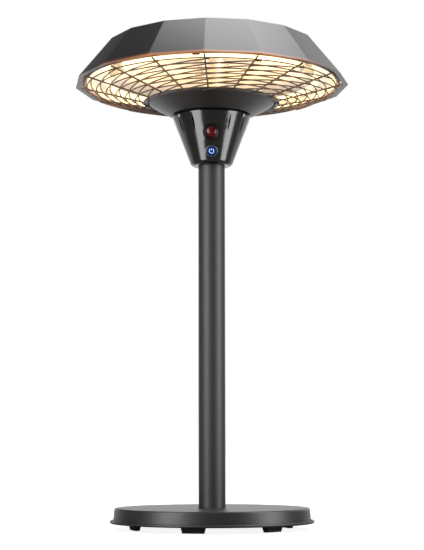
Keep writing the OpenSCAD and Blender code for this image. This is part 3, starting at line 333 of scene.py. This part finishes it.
def turned_brass():
    """Turned brass, bare: warm yellow metal, a little dulled."""
    return solid_finish("plain_brass", "#b08a3c", 0.3, grain=1.5, Metallic=1.0)


def spun_aluminium(name, colours, roughness):
    """Anodised aluminium spun on a lathe: bright metal with tool lines that circle the axis."""
    material, tree, surface = blank(name)
    place = add(tree, "ShaderNodeTexCoord")
    split = add(tree, "ShaderNodeSeparateXYZ", None, {"Vector": place.outputs["Object"]})
    flat = add(tree, "ShaderNodeCombineXYZ", None, {"X": split.outputs["X"], "Y": split.outputs["Y"]})
    radius = add(tree, "ShaderNodeVectorMath", None, {0: flat.outputs["Vector"]}, operation="LENGTH")
    line = add(tree, "ShaderNodeCombineXYZ", None,
               {"X": radius.outputs["Value"], "Y": split.outputs["Z"]})
    tool_line, line_depth, uneven = 1.6 * MM, 0.03 * MM, 0.05          # lines drawn coarse, to show
    lines = add(tree, "ShaderNodeTexNoise", {"Scale": 1 / tool_line, "Detail": 2.0},
                {"Vector": line.outputs["Vector"]})
    rough = add(tree, "ShaderNodeMapRange",
                {"From Min": NOISE_LOW, "From Max": NOISE_HIGH,
                 "To Min": roughness - uneven, "To Max": roughness + uneven},
                {"Value": lines.outputs["Fac"]})
    bump = add(tree, "ShaderNodeBump", {"Strength": 1.0, "Distance": line_depth},
               {"Height": lines.outputs["Fac"]})
    principled = add(tree, "ShaderNodeBsdfPrincipled",
                     {"Base Color": linear(colours.aluminium), "Metallic": 1.0},
                     {"Roughness": rough.outputs["Result"], "Normal": bump.outputs["Normal"]})
    tree.links.new(principled.outputs["BSDF"], surface)
    return material


def quartz_glass(colours, lights):
    """Fused quartz tube round a glowing filament: clear wall, filled with warm light."""
    material, tree, surface = blank("fused_quartz_tube")
    facing = add(tree, "ShaderNodeLayerWeight", {"Blend": 0.35})
    edge_share = 0.6
    core = add(tree, "ShaderNodeMapRange",
               {"To Min": lights.tube_seen, "To Max": edge_share * lights.tube_seen},
               {"Value": facing.outputs["Facing"]})
    ray = add(tree, "ShaderNodeLightPath")
    strength = add(tree, "ShaderNodeMix", {"A": lights.tube},
                   {"Factor": ray.outputs["Is Camera Ray"], "B": core.outputs["Result"]},
                   data_type="FLOAT")
    tint = add(tree, "ShaderNodeMix", {"A": linear(colours.glow), "B": linear(colours.glow_seen)},
               {"Factor": ray.outputs["Is Camera Ray"]}, data_type="RGBA")
    glow = add(tree, "ShaderNodeEmission", None,
               {"Color": tint.outputs["Result"], "Strength": strength.outputs["Result"]})
    clear = add(tree, "ShaderNodeBsdfPrincipled",
                {"Base Color": (1, 1, 1, 1), "Roughness": 0.04, "IOR": 1.46, "Transmission Weight": 1.0})
    glow_share = 0.75
    both = add(tree, "ShaderNodeMixShader", {"Fac": glow_share},
               {1: clear.outputs["BSDF"], 2: glow.outputs["Emission"]})
    tree.links.new(both.outputs["Shader"], surface)
    return material


def glowing_tungsten(colours, lights):
    """Coiled tungsten at working heat: it gives light, and shows no surface of its own."""
    material, tree, surface = blank("glowing_tungsten_coil")
    place = add(tree, "ShaderNodeTexCoord")
    patch, coolest = 12 * MM, 0.85
    noise = add(tree, "ShaderNodeTexNoise", {"Scale": 1 / patch}, {"Vector": place.outputs["Object"]})
    heat = add(tree, "ShaderNodeMapRange",
               {"From Min": NOISE_LOW, "From Max": NOISE_HIGH,
                "To Min": coolest * lights.filament, "To Max": lights.filament},
               {"Value": noise.outputs["Fac"]})
    glow = add(tree, "ShaderNodeEmission", {"Color": linear(colours.glow)},
               {"Strength": heat.outputs["Result"]})
    tree.links.new(glow.outputs["Emission"], surface)
    material.cycles.emission_sampling = "NONE"
    return material


def steatite():
    """Unglazed steatite: chalky off-white with faint specks."""
    return solid_finish("unglazed_steatite", "#d9d2c2", 0.7, grain=1.5, spread=0.08, lift=0.03)


def lit_steatite(colours):
    """Steatite cap beside a burning lamp, with a faint painted glow in the lamp's colour."""
    # painted glow: emission stands in for the tubes' light falling on the caps
    return solid_finish("steatite_cap_painted_glow", "#e6dfce", 0.7, grain=1.5, spread=0.08, lift=0.03,
                        **{"Emission Color": linear(colours.glow), "Emission Strength": 0.55})


def cast_concrete():
    """Concrete cast in a mould: a pale grey skin with sandy grains and small pores."""
    return solid_finish("cast_concrete", "#8f8d88", 0.85, grain=1.8, spread=0.16, lift=0.2, detail=6.0)


def cast_iron():
    """Sand-cast iron: rough, dull and uneven."""
    return solid_finish("sand_cast_iron", "#4a4845", 0.75, grain=2.5, spread=0.25, lift=0.25,
                        Metallic=0.6)


def red_lens(colours):
    """Moulded red polycarbonate: it passes only deep red, under a glossy dome, with a faint painted red
    glow.
    """
    # painted glow: a faint red emission, though the lens gives no light
    return solid_finish("moulded_red_polycarbonate", colours.lens, 0.2, grain=4.0, spread=0.05,
                        uneven=0.02,
                        **{"Transmission Weight": 0.35, "Specular IOR Level": 0.14,
                           "Emission Color": linear(colours.lens), "Emission Strength": 0.16})


def receiver_moulding():
    """Satin black moulding round the receiver, with a painted red reflection of the lens on its face and
    painted shade in a dark ring at its rim.
    """
    material, tree, surface = blank("moulded_receiver_surround_painted_light")
    place = add(tree, "ShaderNodeTexCoord")
    middle = (low("receiver_bezel") + high("receiver_bezel")) / 2
    away = add(tree, "ShaderNodeVectorMath", {1: middle}, {0: place.outputs["Object"]},
               operation="DISTANCE")
    lens_edge, outer_edge = 8 * MM, 15.4 * MM
    share = add(tree, "ShaderNodeMapRange", {"From Min": lens_edge, "From Max": outer_edge},
                {"Value": away.outputs["Value"]})
    tone = add(tree, "ShaderNodeValToRGB", None, {"Fac": share.outputs["Result"]})
    # painted reflection of the red lens near its edge, then painted shade darkening to black towards the
    # rim
    painted_reflection_end, painted_shade_start = 0.6, 0.78
    first, last = tone.color_ramp.elements
    # reddish brown near the lens is a painted reflection, near-black at the rim is painted shade
    first.color = linear("#3a1614")
    last.color = linear("#030303")
    painted_reflection_stop = tone.color_ramp.elements.new(painted_reflection_end)
    painted_reflection_stop.color = linear("#221614")
    last.position = painted_shade_start
    grain, lift = 0.8 * MM, 0.01 * MM
    noise = add(tree, "ShaderNodeTexNoise", {"Scale": 1 / grain}, {"Vector": place.outputs["Object"]})
    bump = add(tree, "ShaderNodeBump", {"Strength": 1.0, "Distance": lift},
               {"Height": noise.outputs["Fac"]})
    principled = add(tree, "ShaderNodeBsdfPrincipled", {"Roughness": 0.4, "Specular IOR Level": 0.12},
                     {"Base Color": tone.outputs["Color"], "Normal": bump.outputs["Normal"]})
    tree.links.new(principled.outputs["BSDF"], surface)
    return material


def lit_button(colours, lights):
    """Translucent blue acrylic lit from behind by two lamps, so its middle is the brightest."""
    material, tree, surface = blank("lit_blue_acrylic")
    place = add(tree, "ShaderNodeTexCoord")
    middle = (low("power_button") + high("power_button")) / 2
    away = add(tree, "ShaderNodeVectorMath", {1: middle}, {0: place.outputs["Object"]},
               operation="DISTANCE")
    lit_r, dark_r, edge_share = 3 * MM, 11 * MM, 0.1
    fall = add(tree, "ShaderNodeMapRange",
               {"From Min": lit_r, "From Max": dark_r,
                "To Min": lights.button, "To Max": edge_share * lights.button},
               {"Value": away.outputs["Value"]}, interpolation_type="SMOOTHSTEP")
    principled = add(tree, "ShaderNodeBsdfPrincipled",
                     {"Base Color": linear(colours.button), "Roughness": 0.22, "Specular IOR Level": 0.2,
                      "Emission Color": linear("#1656ff")},
                     {"Emission Strength": fall.outputs["Result"]})
    tree.links.new(principled.outputs["BSDF"], surface)
    return material


def lit_symbol(colours, lights):
    """Clear window moulded into the cap: the lamps behind it show as a cool white line."""
    material, tree, surface = blank("lit_symbol_window")
    place = add(tree, "ShaderNodeTexCoord")
    patch, dimmest = 3 * MM, 0.9
    noise = add(tree, "ShaderNodeTexNoise", {"Scale": 1 / patch}, {"Vector": place.outputs["Object"]})
    glow = add(tree, "ShaderNodeMapRange",
               {"From Min": NOISE_LOW, "From Max": NOISE_HIGH,
                "To Min": dimmest * lights.symbol, "To Max": lights.symbol},
               {"Value": noise.outputs["Fac"]})
    principled = add(tree, "ShaderNodeBsdfPrincipled",
                     {"Base Color": linear(colours.symbol), "Roughness": 0.3,
                      "Emission Color": linear(colours.symbol)},
                     {"Emission Strength": glow.outputs["Result"]})
    tree.links.new(principled.outputs["BSDF"], surface)
    return material


def circuit_board():
    """Glass-fibre board under green solder mask: a grid of faint copper tracks shows through."""
    material, tree, surface = blank("masked_circuit_board")
    place = add(tree, "ShaderNodeTexCoord")
    track_pitch = 9 * MM          # drawn coarse, to show
    tracks = add(tree, "ShaderNodeTexBrick",
                 {"Color1": linear("#1d5b38"), "Color2": linear("#174a2e"), "Mortar": linear("#2f7d4d"),
                  "Scale": 1 / track_pitch, "Mortar Size": 0.06}, {"Vector": place.outputs["Object"]})
    principled = add(tree, "ShaderNodeBsdfPrincipled", {"Roughness": 0.35},
                     {"Base Color": tracks.outputs["Color"]})
    tree.links.new(principled.outputs["BSDF"], surface)
    return material


def braided_sleeve():
    """Woven glass sleeving on the lamp leads: an off-white weave of 0.8 mm."""
    return solid_finish("woven_glass_sleeve", "#cfc9b8", 0.8, grain=0.8, spread=0.15, lift=0.1,
                        stretch=(1, 1, 0.4))


# ---- Shape helpers ----------------------------------------------------------------------------

def around(radius, azimuth, z=0.0):
    """A point at an azimuth, in radians, that counts from the front towards +X."""
    return Vector((radius * sin(azimuth), -radius * cos(azimuth), z))


def sweep(build, path, radius, sides=10, closed=False):
    """Adds a round wire along a path to a bmesh: straight ends are capped, a closed path joins up."""
    count = len(path)
    rings = []
    side = None
    for i, point in enumerate(path):
        if closed:
            way = path[(i + 1) % count] - path[i - 1]
        else:
            way = path[min(i + 1, count - 1)] - path[max(i - 1, 0)]
        way.normalize()
        if side is None:
            side = way.cross(Vector((0, 0, 1)) if abs(way.z) < 0.9 else Vector((0, 1, 0))).normalized()
        side = (side - way * side.dot(way)).normalized()
        up = way.cross(side)
        rings.append([build.verts.new(point + radius * (cos(k * 2 * pi / sides) * side
                                                        + sin(k * 2 * pi / sides) * up))
                      for k in range(sides)])
    pairs = list(zip(rings, rings[1:])) + ([(rings[-1], rings[0])] if closed else [])
    for ring, following in pairs:
        for k in range(sides):
            build.faces.new((ring[k - 1], ring[k], following[k], following[k - 1]))
    if not closed:
        build.faces.new(rings[0])
        build.faces.new(list(reversed(rings[-1])))


def wires(name, paths, radius, sides=10, closed=False):
    """One mesh of round wires along several paths."""
    mesh = bpy.data.meshes.new(name)
    build = bmesh.new()
    for path in paths:
        sweep(build, path, radius, sides, closed)
    bmesh.ops.recalc_face_normals(build, faces=build.faces)
    build.to_mesh(mesh)
    build.free()
    return mesh


def piece(name, mesh, material, replaces=(), body=BODY, sharp=35):
    """Makes a piece of a mesh: smooth up to the sharp angle in degrees, riding on a body."""
    obj = bpy.data.objects.new(name, mesh)
    bpy.context.scene.collection.objects.link(obj)
    mesh.shade_smooth()
    mesh.set_sharp_from_angle(angle=radians(sharp))
    mesh.materials.append(material)
    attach(obj, body)
    if replaces:
        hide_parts(*replaces)
    return obj


def dress(material, *nodes):
    """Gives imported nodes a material."""
    for node in nodes:
        slots = frame["nodes"][node].data.materials
        slots.clear()
        slots.append(material)


# ---- Guard, canopy and lamps ------------------------------------------------------------------

class Guard:
    """The guard's three layers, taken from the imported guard: spirals, rings on them, spokes on top."""

    def __init__(self, sizes):
        seat = 0.05 * MM          # gap left at a weld
        spoke_tuck, spiral_tuck = 6.6 * MM, 2.8 * MM          # measured in from the hub ring's edge
        hub_r = high("hub_ring").x
        self.wire = sizes.ring_wire
        self.stop_r = hub_r - spoke_tuck
        self.first_r = hub_r - spiral_tuck
        self.rim_r = high("guard_rings").x - sizes.rim_wire / 2
        self.rim_z = high("guard_rings").z - sizes.rim_wire / 2
        self.pitch = sizes.ring_pitch
        self.spiral_lift = -self.wire - seat
        self.spoke_lift = (self.wire + sizes.spoke_wire) / 2 + seat
        rim_lift = self.spoke_lift + (sizes.spoke_wire + sizes.rim_wire) / 2 + seat
        lowest = low("guard_rings").z + sizes.ring_wire / 2
        self.rise = 0.25          # a first guess, which a few passes settle
        for _ in range(6):
            self.edge_z = self.rim_z - rim_lift * self.lean()
            self.rise = (self.edge_z - lowest) / (self.rim_r - self.first_r - self.pitch)
        self.step = 2 * pi / sizes.sides
        self.turn = sizes.head_turn

    def lean(self):
        """Upright distance for one unit across the guard."""
        return sqrt(1 + self.rise ** 2)

    def z(self, r, lift=0.0):
        """Height at radius r, with a lift across the rings' layer."""
        return self.edge_z + (r - self.rim_r) * self.rise + lift * self.lean()

    def spiral_point(self, s, turn):
        """A point of a spiral wire, s ring pitches out."""
        r = self.first_r + s * self.pitch
        return around(r, turn + s * self.step, self.z(r, self.spiral_lift))


class HEATER_OT_guard(bpy.types.Operator):
    """Welds the guard: seven rings, sixteen spokes and sixteen spiral wires"""

    bl_idname = "heater.guard"
    bl_label = "Guard"

    def execute(self, context):
        sizes, colours = context.scene.heater_sizes, context.scene.heater_colours
        guard = Guard(sizes)
        enamel = wire_enamel(colours)
        turns = [guard.turn + i * guard.step for i in range(sizes.sides)]
        ring_parts, spiral_parts = 192, 76
        spoke_end = 0.4 * MM          # how far a spoke runs past the outer ring's middle
        spiral_end = 0.1          # how far a spiral runs past the last ring, in ring pitches

        count = int((guard.rim_r - sizes.rim_wire / 2 - guard.wire - guard.first_r) / guard.pitch)
        radii = [guard.first_r + k * guard.pitch for k in range(1, count + 1)]
        azimuths = [k * 2 * pi / ring_parts for k in range(ring_parts)]
        rings = [[around(r, azimuth, guard.z(r)) for azimuth in azimuths] for r in radii]
        piece("guard_ring_wires", wires("guard_ring_wires", rings, guard.wire / 2, closed=True), enamel,
              ("guard_rings",))
        rim = [around(guard.rim_r, azimuth, guard.rim_z) for azimuth in azimuths]
        piece("guard_rim_wire", wires("guard_rim_wire", [rim], sizes.rim_wire / 2, closed=True), enamel)

        ends = guard.stop_r + sizes.spoke_wire / 2 * guard.rise, guard.rim_r + spoke_end
        spokes = [[around(r, turn, guard.z(r, guard.spoke_lift)) for r in ends] for turn in turns]
        piece("guard_spoke_wires", wires("guard_spoke_wires", spokes, sizes.spoke_wire / 2, sides=12),
              enamel, ("guard_spokes",))

        start, end = (guard.stop_r - guard.first_r) / guard.pitch, count + spiral_end
        places = [start + (end - start) * k / spiral_parts for k in range(spiral_parts + 1)]
        spirals = [[guard.spiral_point(s, turn) for s in places] for turn in turns]
        piece("guard_spiral_wires", wires("guard_spiral_wires", spirals, guard.wire / 2), enamel,
              ("guard_spirals",))
        dress(stainless(colours), "guard_clips")
        dress(zinc_plate(colours), "guard_screws")
        return {"FINISHED"}


class HEATER_OT_canopy(bpy.types.Operator):
    """Presses the sixteen-sided canopy from one sheet, with rounded creases and a turned-in lip"""

    bl_idname = "heater.canopy"
    bl_label = "Canopy"

    def execute(self, context):
        sizes, colours = context.scene.heater_sizes, context.scene.heater_colours
        sheet, count = sizes.sheet, sizes.sides
        rim, roof = low("canopy").z, high("canopy").z
        top = rim + sizes.side_h
        flat = cos(pi / count)          # a side's middle lies at this share of its corners' radius
        top_r = sizes.canopy_r - sizes.side_run
        lean = atan2(sizes.side_run * flat, sizes.side_h)
        inset = sheet / cos(lean) / flat
        lip_r = sizes.canopy_r - sizes.lip_w / flat
        drop = 0.9 * sheet          # how far the roof's inner corner lies under the outer one
        outer = [(lip_r, rim), (sizes.canopy_r, rim), (top_r, top), (sizes.roof_r, roof)]
        inner = [(sizes.roof_r, roof - sheet), (top_r - inset + drop * tan(lean), top - drop),
                 (sizes.canopy_r - inset - sheet * tan(lean), rim + sheet), (lip_r, rim + sheet)]

        mesh = bpy.data.meshes.new("canopy_sheet")
        build = bmesh.new()
        azimuths = [sizes.head_turn + k * 2 * pi / count for k in range(count)]
        rings = [[build.verts.new(around(r, azimuth, z)) for azimuth in azimuths] for r, z in outer + inner]
        roof_ring, ceiling_ring = rings[len(outer) - 1], rings[len(outer)]
        for ring, following in zip(rings, rings[1:] + rings[:1]):
            if ring is not roof_ring:
                for k in range(count):
                    build.faces.new((ring[k], ring[k - 1], following[k - 1], following[k]))
        build.faces.new(roof_ring)
        build.faces.new(ceiling_ring)
        bmesh.ops.recalc_face_normals(build, faces=build.faces)
        outside = {v for ring in rings[1:len(outer)] for v in ring}
        pressed = radians(3)          # a flatter edge is no crease
        creases = [e for e in build.edges if e.calc_face_angle() > pressed and outside.issuperset(e.verts)
                   and max(v.co.z for v in e.verts) > rim + sheet / 2]
        bmesh.ops.bevel(build, geom=creases, offset=sizes.crease, segments=4, profile=0.5, affect="EDGES",
                        clamp_overlap=True)
        build.to_mesh(mesh)
        build.free()
        piece("canopy_sheet", mesh, canopy_coat_painted_glow(colours), ("canopy",), sharp=40)
        dress(stainless(colours), "cap_nuts")
        dress(zinc_plate(colours), "canopy_studs")
        return {"FINISHED"}


class HEATER_OT_heating(bpy.types.Operator):
    """Fits the quartz tubes, their coiled filaments, holders and the spun reflector"""

    bl_idname = "heater.heating"
    bl_label = "Heating"

    def execute(self, context):
        scene = context.scene
        sizes, colours, lights = scene.heater_sizes, scene.heater_colours, scene.heater_lights
        bottom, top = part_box("quartz_tubes")
        tube_z = (bottom.z + top.z) / 2
        tube_r = (top.z - bottom.z) / 2
        ring_r = -bottom.y - tube_r
        lamps, cap_turn = 3, radians(52)          # tubes, and half the arc of each up to its caps
        coil_r = (high("heating_filaments").z - low("heating_filaments").z) / 2 - sizes.coil_wire / 2
        turns = int(2 * cap_turn * ring_r / sizes.coil_pitch)
        per_turn = 10
        coils = []
        for lamp in range(lamps):
            path = []
            for k in range(turns * per_turn + 1):
                share = k / (turns * per_turn)
                azimuth = lamp * 2 * pi / lamps + (2 * share - 1) * cap_turn
                phase = k * 2 * pi / per_turn
                path.append(around(ring_r + coil_r * cos(phase), azimuth, tube_z + coil_r * sin(phase)))
            coils.append(path)
        piece("filament_coils", wires("filament_coils", coils, sizes.coil_wire / 2, sides=5),
              glowing_tungsten(colours, lights), ("heating_filaments",))
        dress(quartz_glass(colours, lights), "quartz_tubes")
        dress(lit_steatite(colours), "tube_end_caps")
        dress(steatite(), "terminal_block")
        dress(spun_aluminium("pressed_aluminium_holder", colours, roughness=0.5), "tube_holders")
        dress(stainless(colours), "reflector_screws")
        dress(zinc_plate(colours), "holder_screws", "reflector_collar")
        dress(spun_aluminium("spun_aluminium_reflector", colours, roughness=0.36), "reflector")
        dress(spun_aluminium("drawn_aluminium_column", colours, roughness=0.38), "centre_column")
        dress(braided_sleeve(), "lamp_leads")
        return {"FINISHED"}


# ---- Base, pole and head ----------------------------------------------------------------------

class HEATER_OT_base(bpy.types.Operator):
    """Finishes the base, the pole and the steel parts inside: coats, concrete, rubber, nylon and zinc"""

    bl_idname = "heater.base"
    bl_label = "Base and pole"

    def execute(self, context):
        colours = context.scene.heater_colours
        dress(powder_coat("powder_coated_cover", colours, roughness=0.42), "base_cover")
        dress(powder_coat("powder_coated_tube", colours, roughness=0.5), "pole")
        dress(cast_concrete(), "base_ballast")
        dress(moulded_rubber(colours), "rubber_feet", "supply_lead", "signal_lead")
        dress(moulded_plastic("moulded_nylon_gland", "#1d1d1e"), "cable_gland", "gland_nut")
        dress(zinc_plate(colours), "base_plate", "foot_screws", "base_bolts", "bolt_washers",
              "pole_foot_plug", "neck_flange", "head_pillars", "lower_pillar_screws",
              "upper_pillar_screws", "housing_tabs", "terminal_spacers", "board_screws",
              "block_screws", "power_board_screws")
        return {"FINISHED"}


class HEATER_OT_head(bpy.types.Operator):
    """Finishes the control housing, its window and button, the hub and the switches and boards inside"""

    bl_idname = "heater.head"
    bl_label = "Housing and hub"

    def execute(self, context):
        colours, lights = context.scene.heater_colours, context.scene.heater_lights
        dress(gloss_lacquer(colours), "control_housing")
        dress(black_chrome(), "button_bezel")
        dress(receiver_moulding(), "receiver_bezel")
        dress(dish_enamel(colours), "hub_dish")
        dress(hub_enamel(), "hub_ring")
        dress(stainless(colours), "housing_screws", "tilt_switch_pin")
        dress(cast_iron(), "tilt_switch_weight")
        dress(red_lens(colours), "receiver_lens")
        dress(lit_button(colours, lights), "power_button", "status_leds")
        dress(moulded_plastic("moulded_abs", "#26262a"), "ir_sensor", "tact_switch", "tilt_switch_case")
        dress(moulded_plastic("moulded_acetal", "#cfc8b6"), "switch_plunger")
        dress(moulded_plastic("moulded_relay_case", "#1e4f9c"), "relays")
        dress(circuit_board(), "control_board", "power_board")
        dress(turned_brass(), "terminal_screws")
        return {"FINISHED"}


class HEATER_OT_symbol(bpy.types.Operator):
    """Sets the power symbol, an open ring and a bar, into the button's face"""

    bl_idname = "heater.symbol"
    bl_label = "Power symbol"

    def execute(self, context):
        scene = context.scene
        sizes, colours, lights = scene.heater_sizes, scene.heater_colours, scene.heater_lights
        joint = next(j for j in frame["joints"] if j["child"] == BUTTON)
        inward = Vector(joint["axis"]).normalized()
        side = Vector((1, 0, 0))
        up = side.cross(inward).normalized()
        if up.z < 0:
            up = -up
        depth = min(v.co.dot(inward) for v in frame["nodes"]["power_button"].data.vertices)
        middle = (low("power_button") + high("power_button")) / 2
        centre = middle - inward * (middle.dot(inward) - depth)
        centre.x = 0.0
        gap, steps = radians(32), 40          # half the ring's opening, and the parts of its arc
        arc = []
        for k in range(steps + 1):
            a = gap + (2 * pi - 2 * gap) * k / steps
            arc.append(centre + sizes.symbol_r * (sin(a) * side + cos(a) * up))
        bar = [centre + up * sizes.symbol_r * share for share in (0.15, 0.6, 1.15)]
        flattened = 0.85          # share of its depth that the round line loses
        mesh = bpy.data.meshes.new("power_symbol")
        build = bmesh.new()
        for path in (arc, bar):
            sweep(build, path, sizes.symbol_w / 2)
        bmesh.ops.recalc_face_normals(build, faces=build.faces)
        for v in build.verts:
            v.co -= inward * (v.co - centre).dot(inward) * flattened
        build.to_mesh(mesh)
        build.free()
        piece("power_symbol", mesh, lit_symbol(colours, lights), body=BUTTON)
        return {"FINISHED"}


# ---- Stage ------------------------------------------------------------------------------------

def softbox(name, place, aim, width, height, radiance, diffuse=True):
    """A white rectangular lamp: it shows in reflections, and lights the object where diffuse is on.

    A lamp's watts are spread over four times its area, so radiance counts as an emitter's strength."""
    lamp = bpy.data.lights.new(name, "AREA")
    lamp.shape = "RECTANGLE"
    lamp.size = width
    lamp.size_y = height
    lamp.energy = radiance * 4 * width * height
    obj = bpy.data.objects.new(name, lamp)
    bpy.context.scene.collection.objects.link(obj)
    obj.location = place
    obj.rotation_euler = (Vector(aim) - Vector(place)).to_track_quat("-Z", "Y").to_euler()
    obj.visible_camera = False
    obj.visible_diffuse = diffuse


def studio_room(lights):
    """The world: white to the camera, a plain level for diffuse light, a dim room with a lit wall
    behind the object in reflections."""
    wall_x, wall_z = (0.3, 0.9), (0.25, 0.48)          # where the wall fades out, aside and upward
    room_level, wall_level = 0.08, 1.7
    world = bpy.data.worlds.new("studio_room")
    bpy.context.scene.world = world
    world.use_nodes = True
    tree = world.node_tree
    tree.nodes.clear()
    ray = add(tree, "ShaderNodeLightPath")
    place = add(tree, "ShaderNodeTexCoord")
    way = add(tree, "ShaderNodeSeparateXYZ", None, {"Vector": place.outputs["Generated"]})
    aside = add(tree, "ShaderNodeMath", None, {0: way.outputs["X"]}, operation="ABSOLUTE")
    across = add(tree, "ShaderNodeMapRange",
                 {"From Min": wall_x[0], "From Max": wall_x[1], "To Min": 1.0, "To Max": 0.0},
                 {"Value": aside.outputs["Value"]}, interpolation_type="SMOOTHSTEP")
    behind = add(tree, "ShaderNodeMath", {1: 0.0}, {0: way.outputs["Y"]}, operation="GREATER_THAN")
    upward = add(tree, "ShaderNodeMapRange",
                 {"From Min": wall_z[0], "From Max": wall_z[1], "To Min": 1.0, "To Max": 0.0},
                 {"Value": way.outputs["Z"]}, interpolation_type="SMOOTHSTEP")
    low_part = add(tree, "ShaderNodeMath", None,
                   {0: behind.outputs["Value"], 1: upward.outputs["Result"]}, operation="MULTIPLY")
    wall = add(tree, "ShaderNodeMath", None, {0: across.outputs["Result"], 1: low_part.outputs["Value"]},
               operation="MULTIPLY")
    room = add(tree, "ShaderNodeMapRange", {"To Min": room_level, "To Max": wall_level},
               {"Value": wall.outputs["Value"]})
    mirrored = add(tree, "ShaderNodeMix", {"A": lights.sky},
                   {"Factor": ray.outputs["Is Glossy Ray"], "B": room.outputs["Result"]},
                   data_type="FLOAT")
    open_view = add(tree, "ShaderNodeMath", None,
                    {0: ray.outputs["Is Camera Ray"], 1: ray.outputs["Is Transmission Ray"]},
                    operation="MAXIMUM")
    strength = add(tree, "ShaderNodeMix", {"B": 1.0},
                   {"Factor": open_view.outputs["Value"], "A": mirrored.outputs["Result"]},
                   data_type="FLOAT")
    background = add(tree, "ShaderNodeBackground", {"Color": (1, 1, 1, 1)},
                     {"Strength": strength.outputs["Result"]})
    output = add(tree, "ShaderNodeOutputWorld")
    tree.links.new(background.outputs["Background"], output.inputs["Surface"])


def studio_floor():
    """A pale floor at the feet: seen by the camera, and mirrored from behind the object, it is lifted
    to white, less the object's shadow."""
    reach, lit_from, lit_to, lift = 20.0, 0.4, 1.8, 0.9
    mesh = bpy.data.meshes.new("floor")
    mesh.from_pydata([(-reach, -reach, 0), (reach, -reach, 0), (reach, reach, 0), (-reach, reach, 0)], [],
                     [(0, 1, 2, 3)])
    obj = bpy.data.objects.new("floor", mesh)
    bpy.context.scene.collection.objects.link(obj)
    material, tree, surface = blank("painted_floor")
    ray = add(tree, "ShaderNodeLightPath")
    paint = add(tree, "ShaderNodeBsdfDiffuse", {"Color": linear("#c2c2c0")})
    glow = add(tree, "ShaderNodeEmission", {"Strength": lift})
    lit = add(tree, "ShaderNodeAddShader", None, {0: paint.outputs["BSDF"], 1: glow.outputs["Emission"]})
    place = add(tree, "ShaderNodeTexCoord")
    split = add(tree, "ShaderNodeSeparateXYZ", None, {"Vector": place.outputs["Object"]})
    behind = add(tree, "ShaderNodeMapRange", {"From Min": lit_from, "From Max": lit_to},
                 {"Value": split.outputs["Y"]}, interpolation_type="SMOOTHSTEP")
    mirrored = add(tree, "ShaderNodeMath", None,
                   {0: ray.outputs["Is Glossy Ray"], 1: behind.outputs["Result"]}, operation="MULTIPLY")
    shown = add(tree, "ShaderNodeMath", None,
                {0: ray.outputs["Is Camera Ray"], 1: mirrored.outputs["Value"]}, operation="MAXIMUM")
    seen = add(tree, "ShaderNodeMixShader", None,
               {"Fac": shown.outputs["Value"], 1: paint.outputs["BSDF"], 2: lit.outputs["Shader"]})
    tree.links.new(seen.outputs["Shader"], surface)
    mesh.materials.append(material)


class HEATER_OT_stage(bpy.types.Operator):
    """Sets the camera, the floor, the room and the lamps"""

    bl_idname = "heater.stage"
    bl_label = "Stage"

    def execute(self, context):
        scene = context.scene
        lights = scene.heater_lights
        scene.view_settings.view_transform = "Standard"
        lens = bpy.data.cameras.new("camera")
        lens.sensor_fit = "VERTICAL"
        lens.sensor_height = 36.0
        lens.lens = 98.15
        camera = bpy.data.objects.new("camera", lens)
        scene.collection.objects.link(camera)
        camera.location = (0.0, -2.6919, 0.14726)
        level_view, look_up, roll = radians(90), radians(6.486), radians(0.088)
        camera.rotation_euler = (level_view + look_up, roll, 0)
        scene.camera = camera
        studio_room(lights)
        studio_floor()
        head, waist = (0, 0, high("control_housing").z), (0, 0, 0.5)
        strip_w, strip_h = 0.48, 1.24
        softbox("softbox_top", (0.6, 0.35, 2.9), head, 1.9, 1.8, lights.top)
        softbox("softbox_sheen", (0.24, 0.3, 2.85), head, 1.9, 1.5, lights.sheen, diffuse=False)
        softbox("strip_left", (-0.69, -0.66, 0.62), waist, strip_w, strip_h, lights.strips, diffuse=False)
        softbox("strip_right", (0.87, -0.4, 0.62), waist, strip_w, strip_h, lights.strips, diffuse=False)
        softbox("fill_right", (1.9, 2.6, 2.6), head, 1.6, 1.6, lights.fill, diffuse=False)
        return {"FINISHED"}


class HEATER_PT_panel(bpy.types.Panel):
    """Lists the heater's sizes, colours, lights and making steps"""

    bl_idname = "HEATER_PT_panel"
    bl_label = "Patio heater"
    bl_space_type = "VIEW_3D"
    bl_region_type = "UI"
    bl_category = "Heater"

    def draw(self, context):
        for group_name, group in GROUPS.items():
            box = self.layout.box()
            for name in group.__annotations__:
                box.prop(getattr(context.scene, group_name), name)
        for operator in OPERATORS:
            self.layout.operator(operator.bl_idname)


GROUPS = {"heater_sizes": HeaterSizes, "heater_colours": HeaterColours, "heater_lights": HeaterLights}
OPERATORS = (HEATER_OT_stage, HEATER_OT_base, HEATER_OT_head, HEATER_OT_symbol, HEATER_OT_guard,
             HEATER_OT_heating, HEATER_OT_canopy)


def register():
    """Registers the property groups, operators and panel."""
    for name, group in GROUPS.items():
        bpy.utils.register_class(group)
        setattr(bpy.types.Scene, name, bpy.props.PointerProperty(type=group))
    for cls in OPERATORS + (HEATER_PT_panel,):
        bpy.utils.register_class(cls)


def unregister():
    """Removes what register added."""
    for cls in (HEATER_PT_panel,) + tuple(reversed(OPERATORS)):
        bpy.utils.unregister_class(cls)
    for name, group in reversed(GROUPS.items()):
        delattr(bpy.types.Scene, name)
        bpy.utils.unregister_class(group)


def main():
    """Runs every making step."""
    register()
    bpy.ops.heater.stage()
    bpy.ops.heater.base()
    bpy.ops.heater.head()
    bpy.ops.heater.symbol()
    bpy.ops.heater.guard()
    bpy.ops.heater.heating()
    bpy.ops.heater.canopy()


if __name__ == "__main__":
    main()
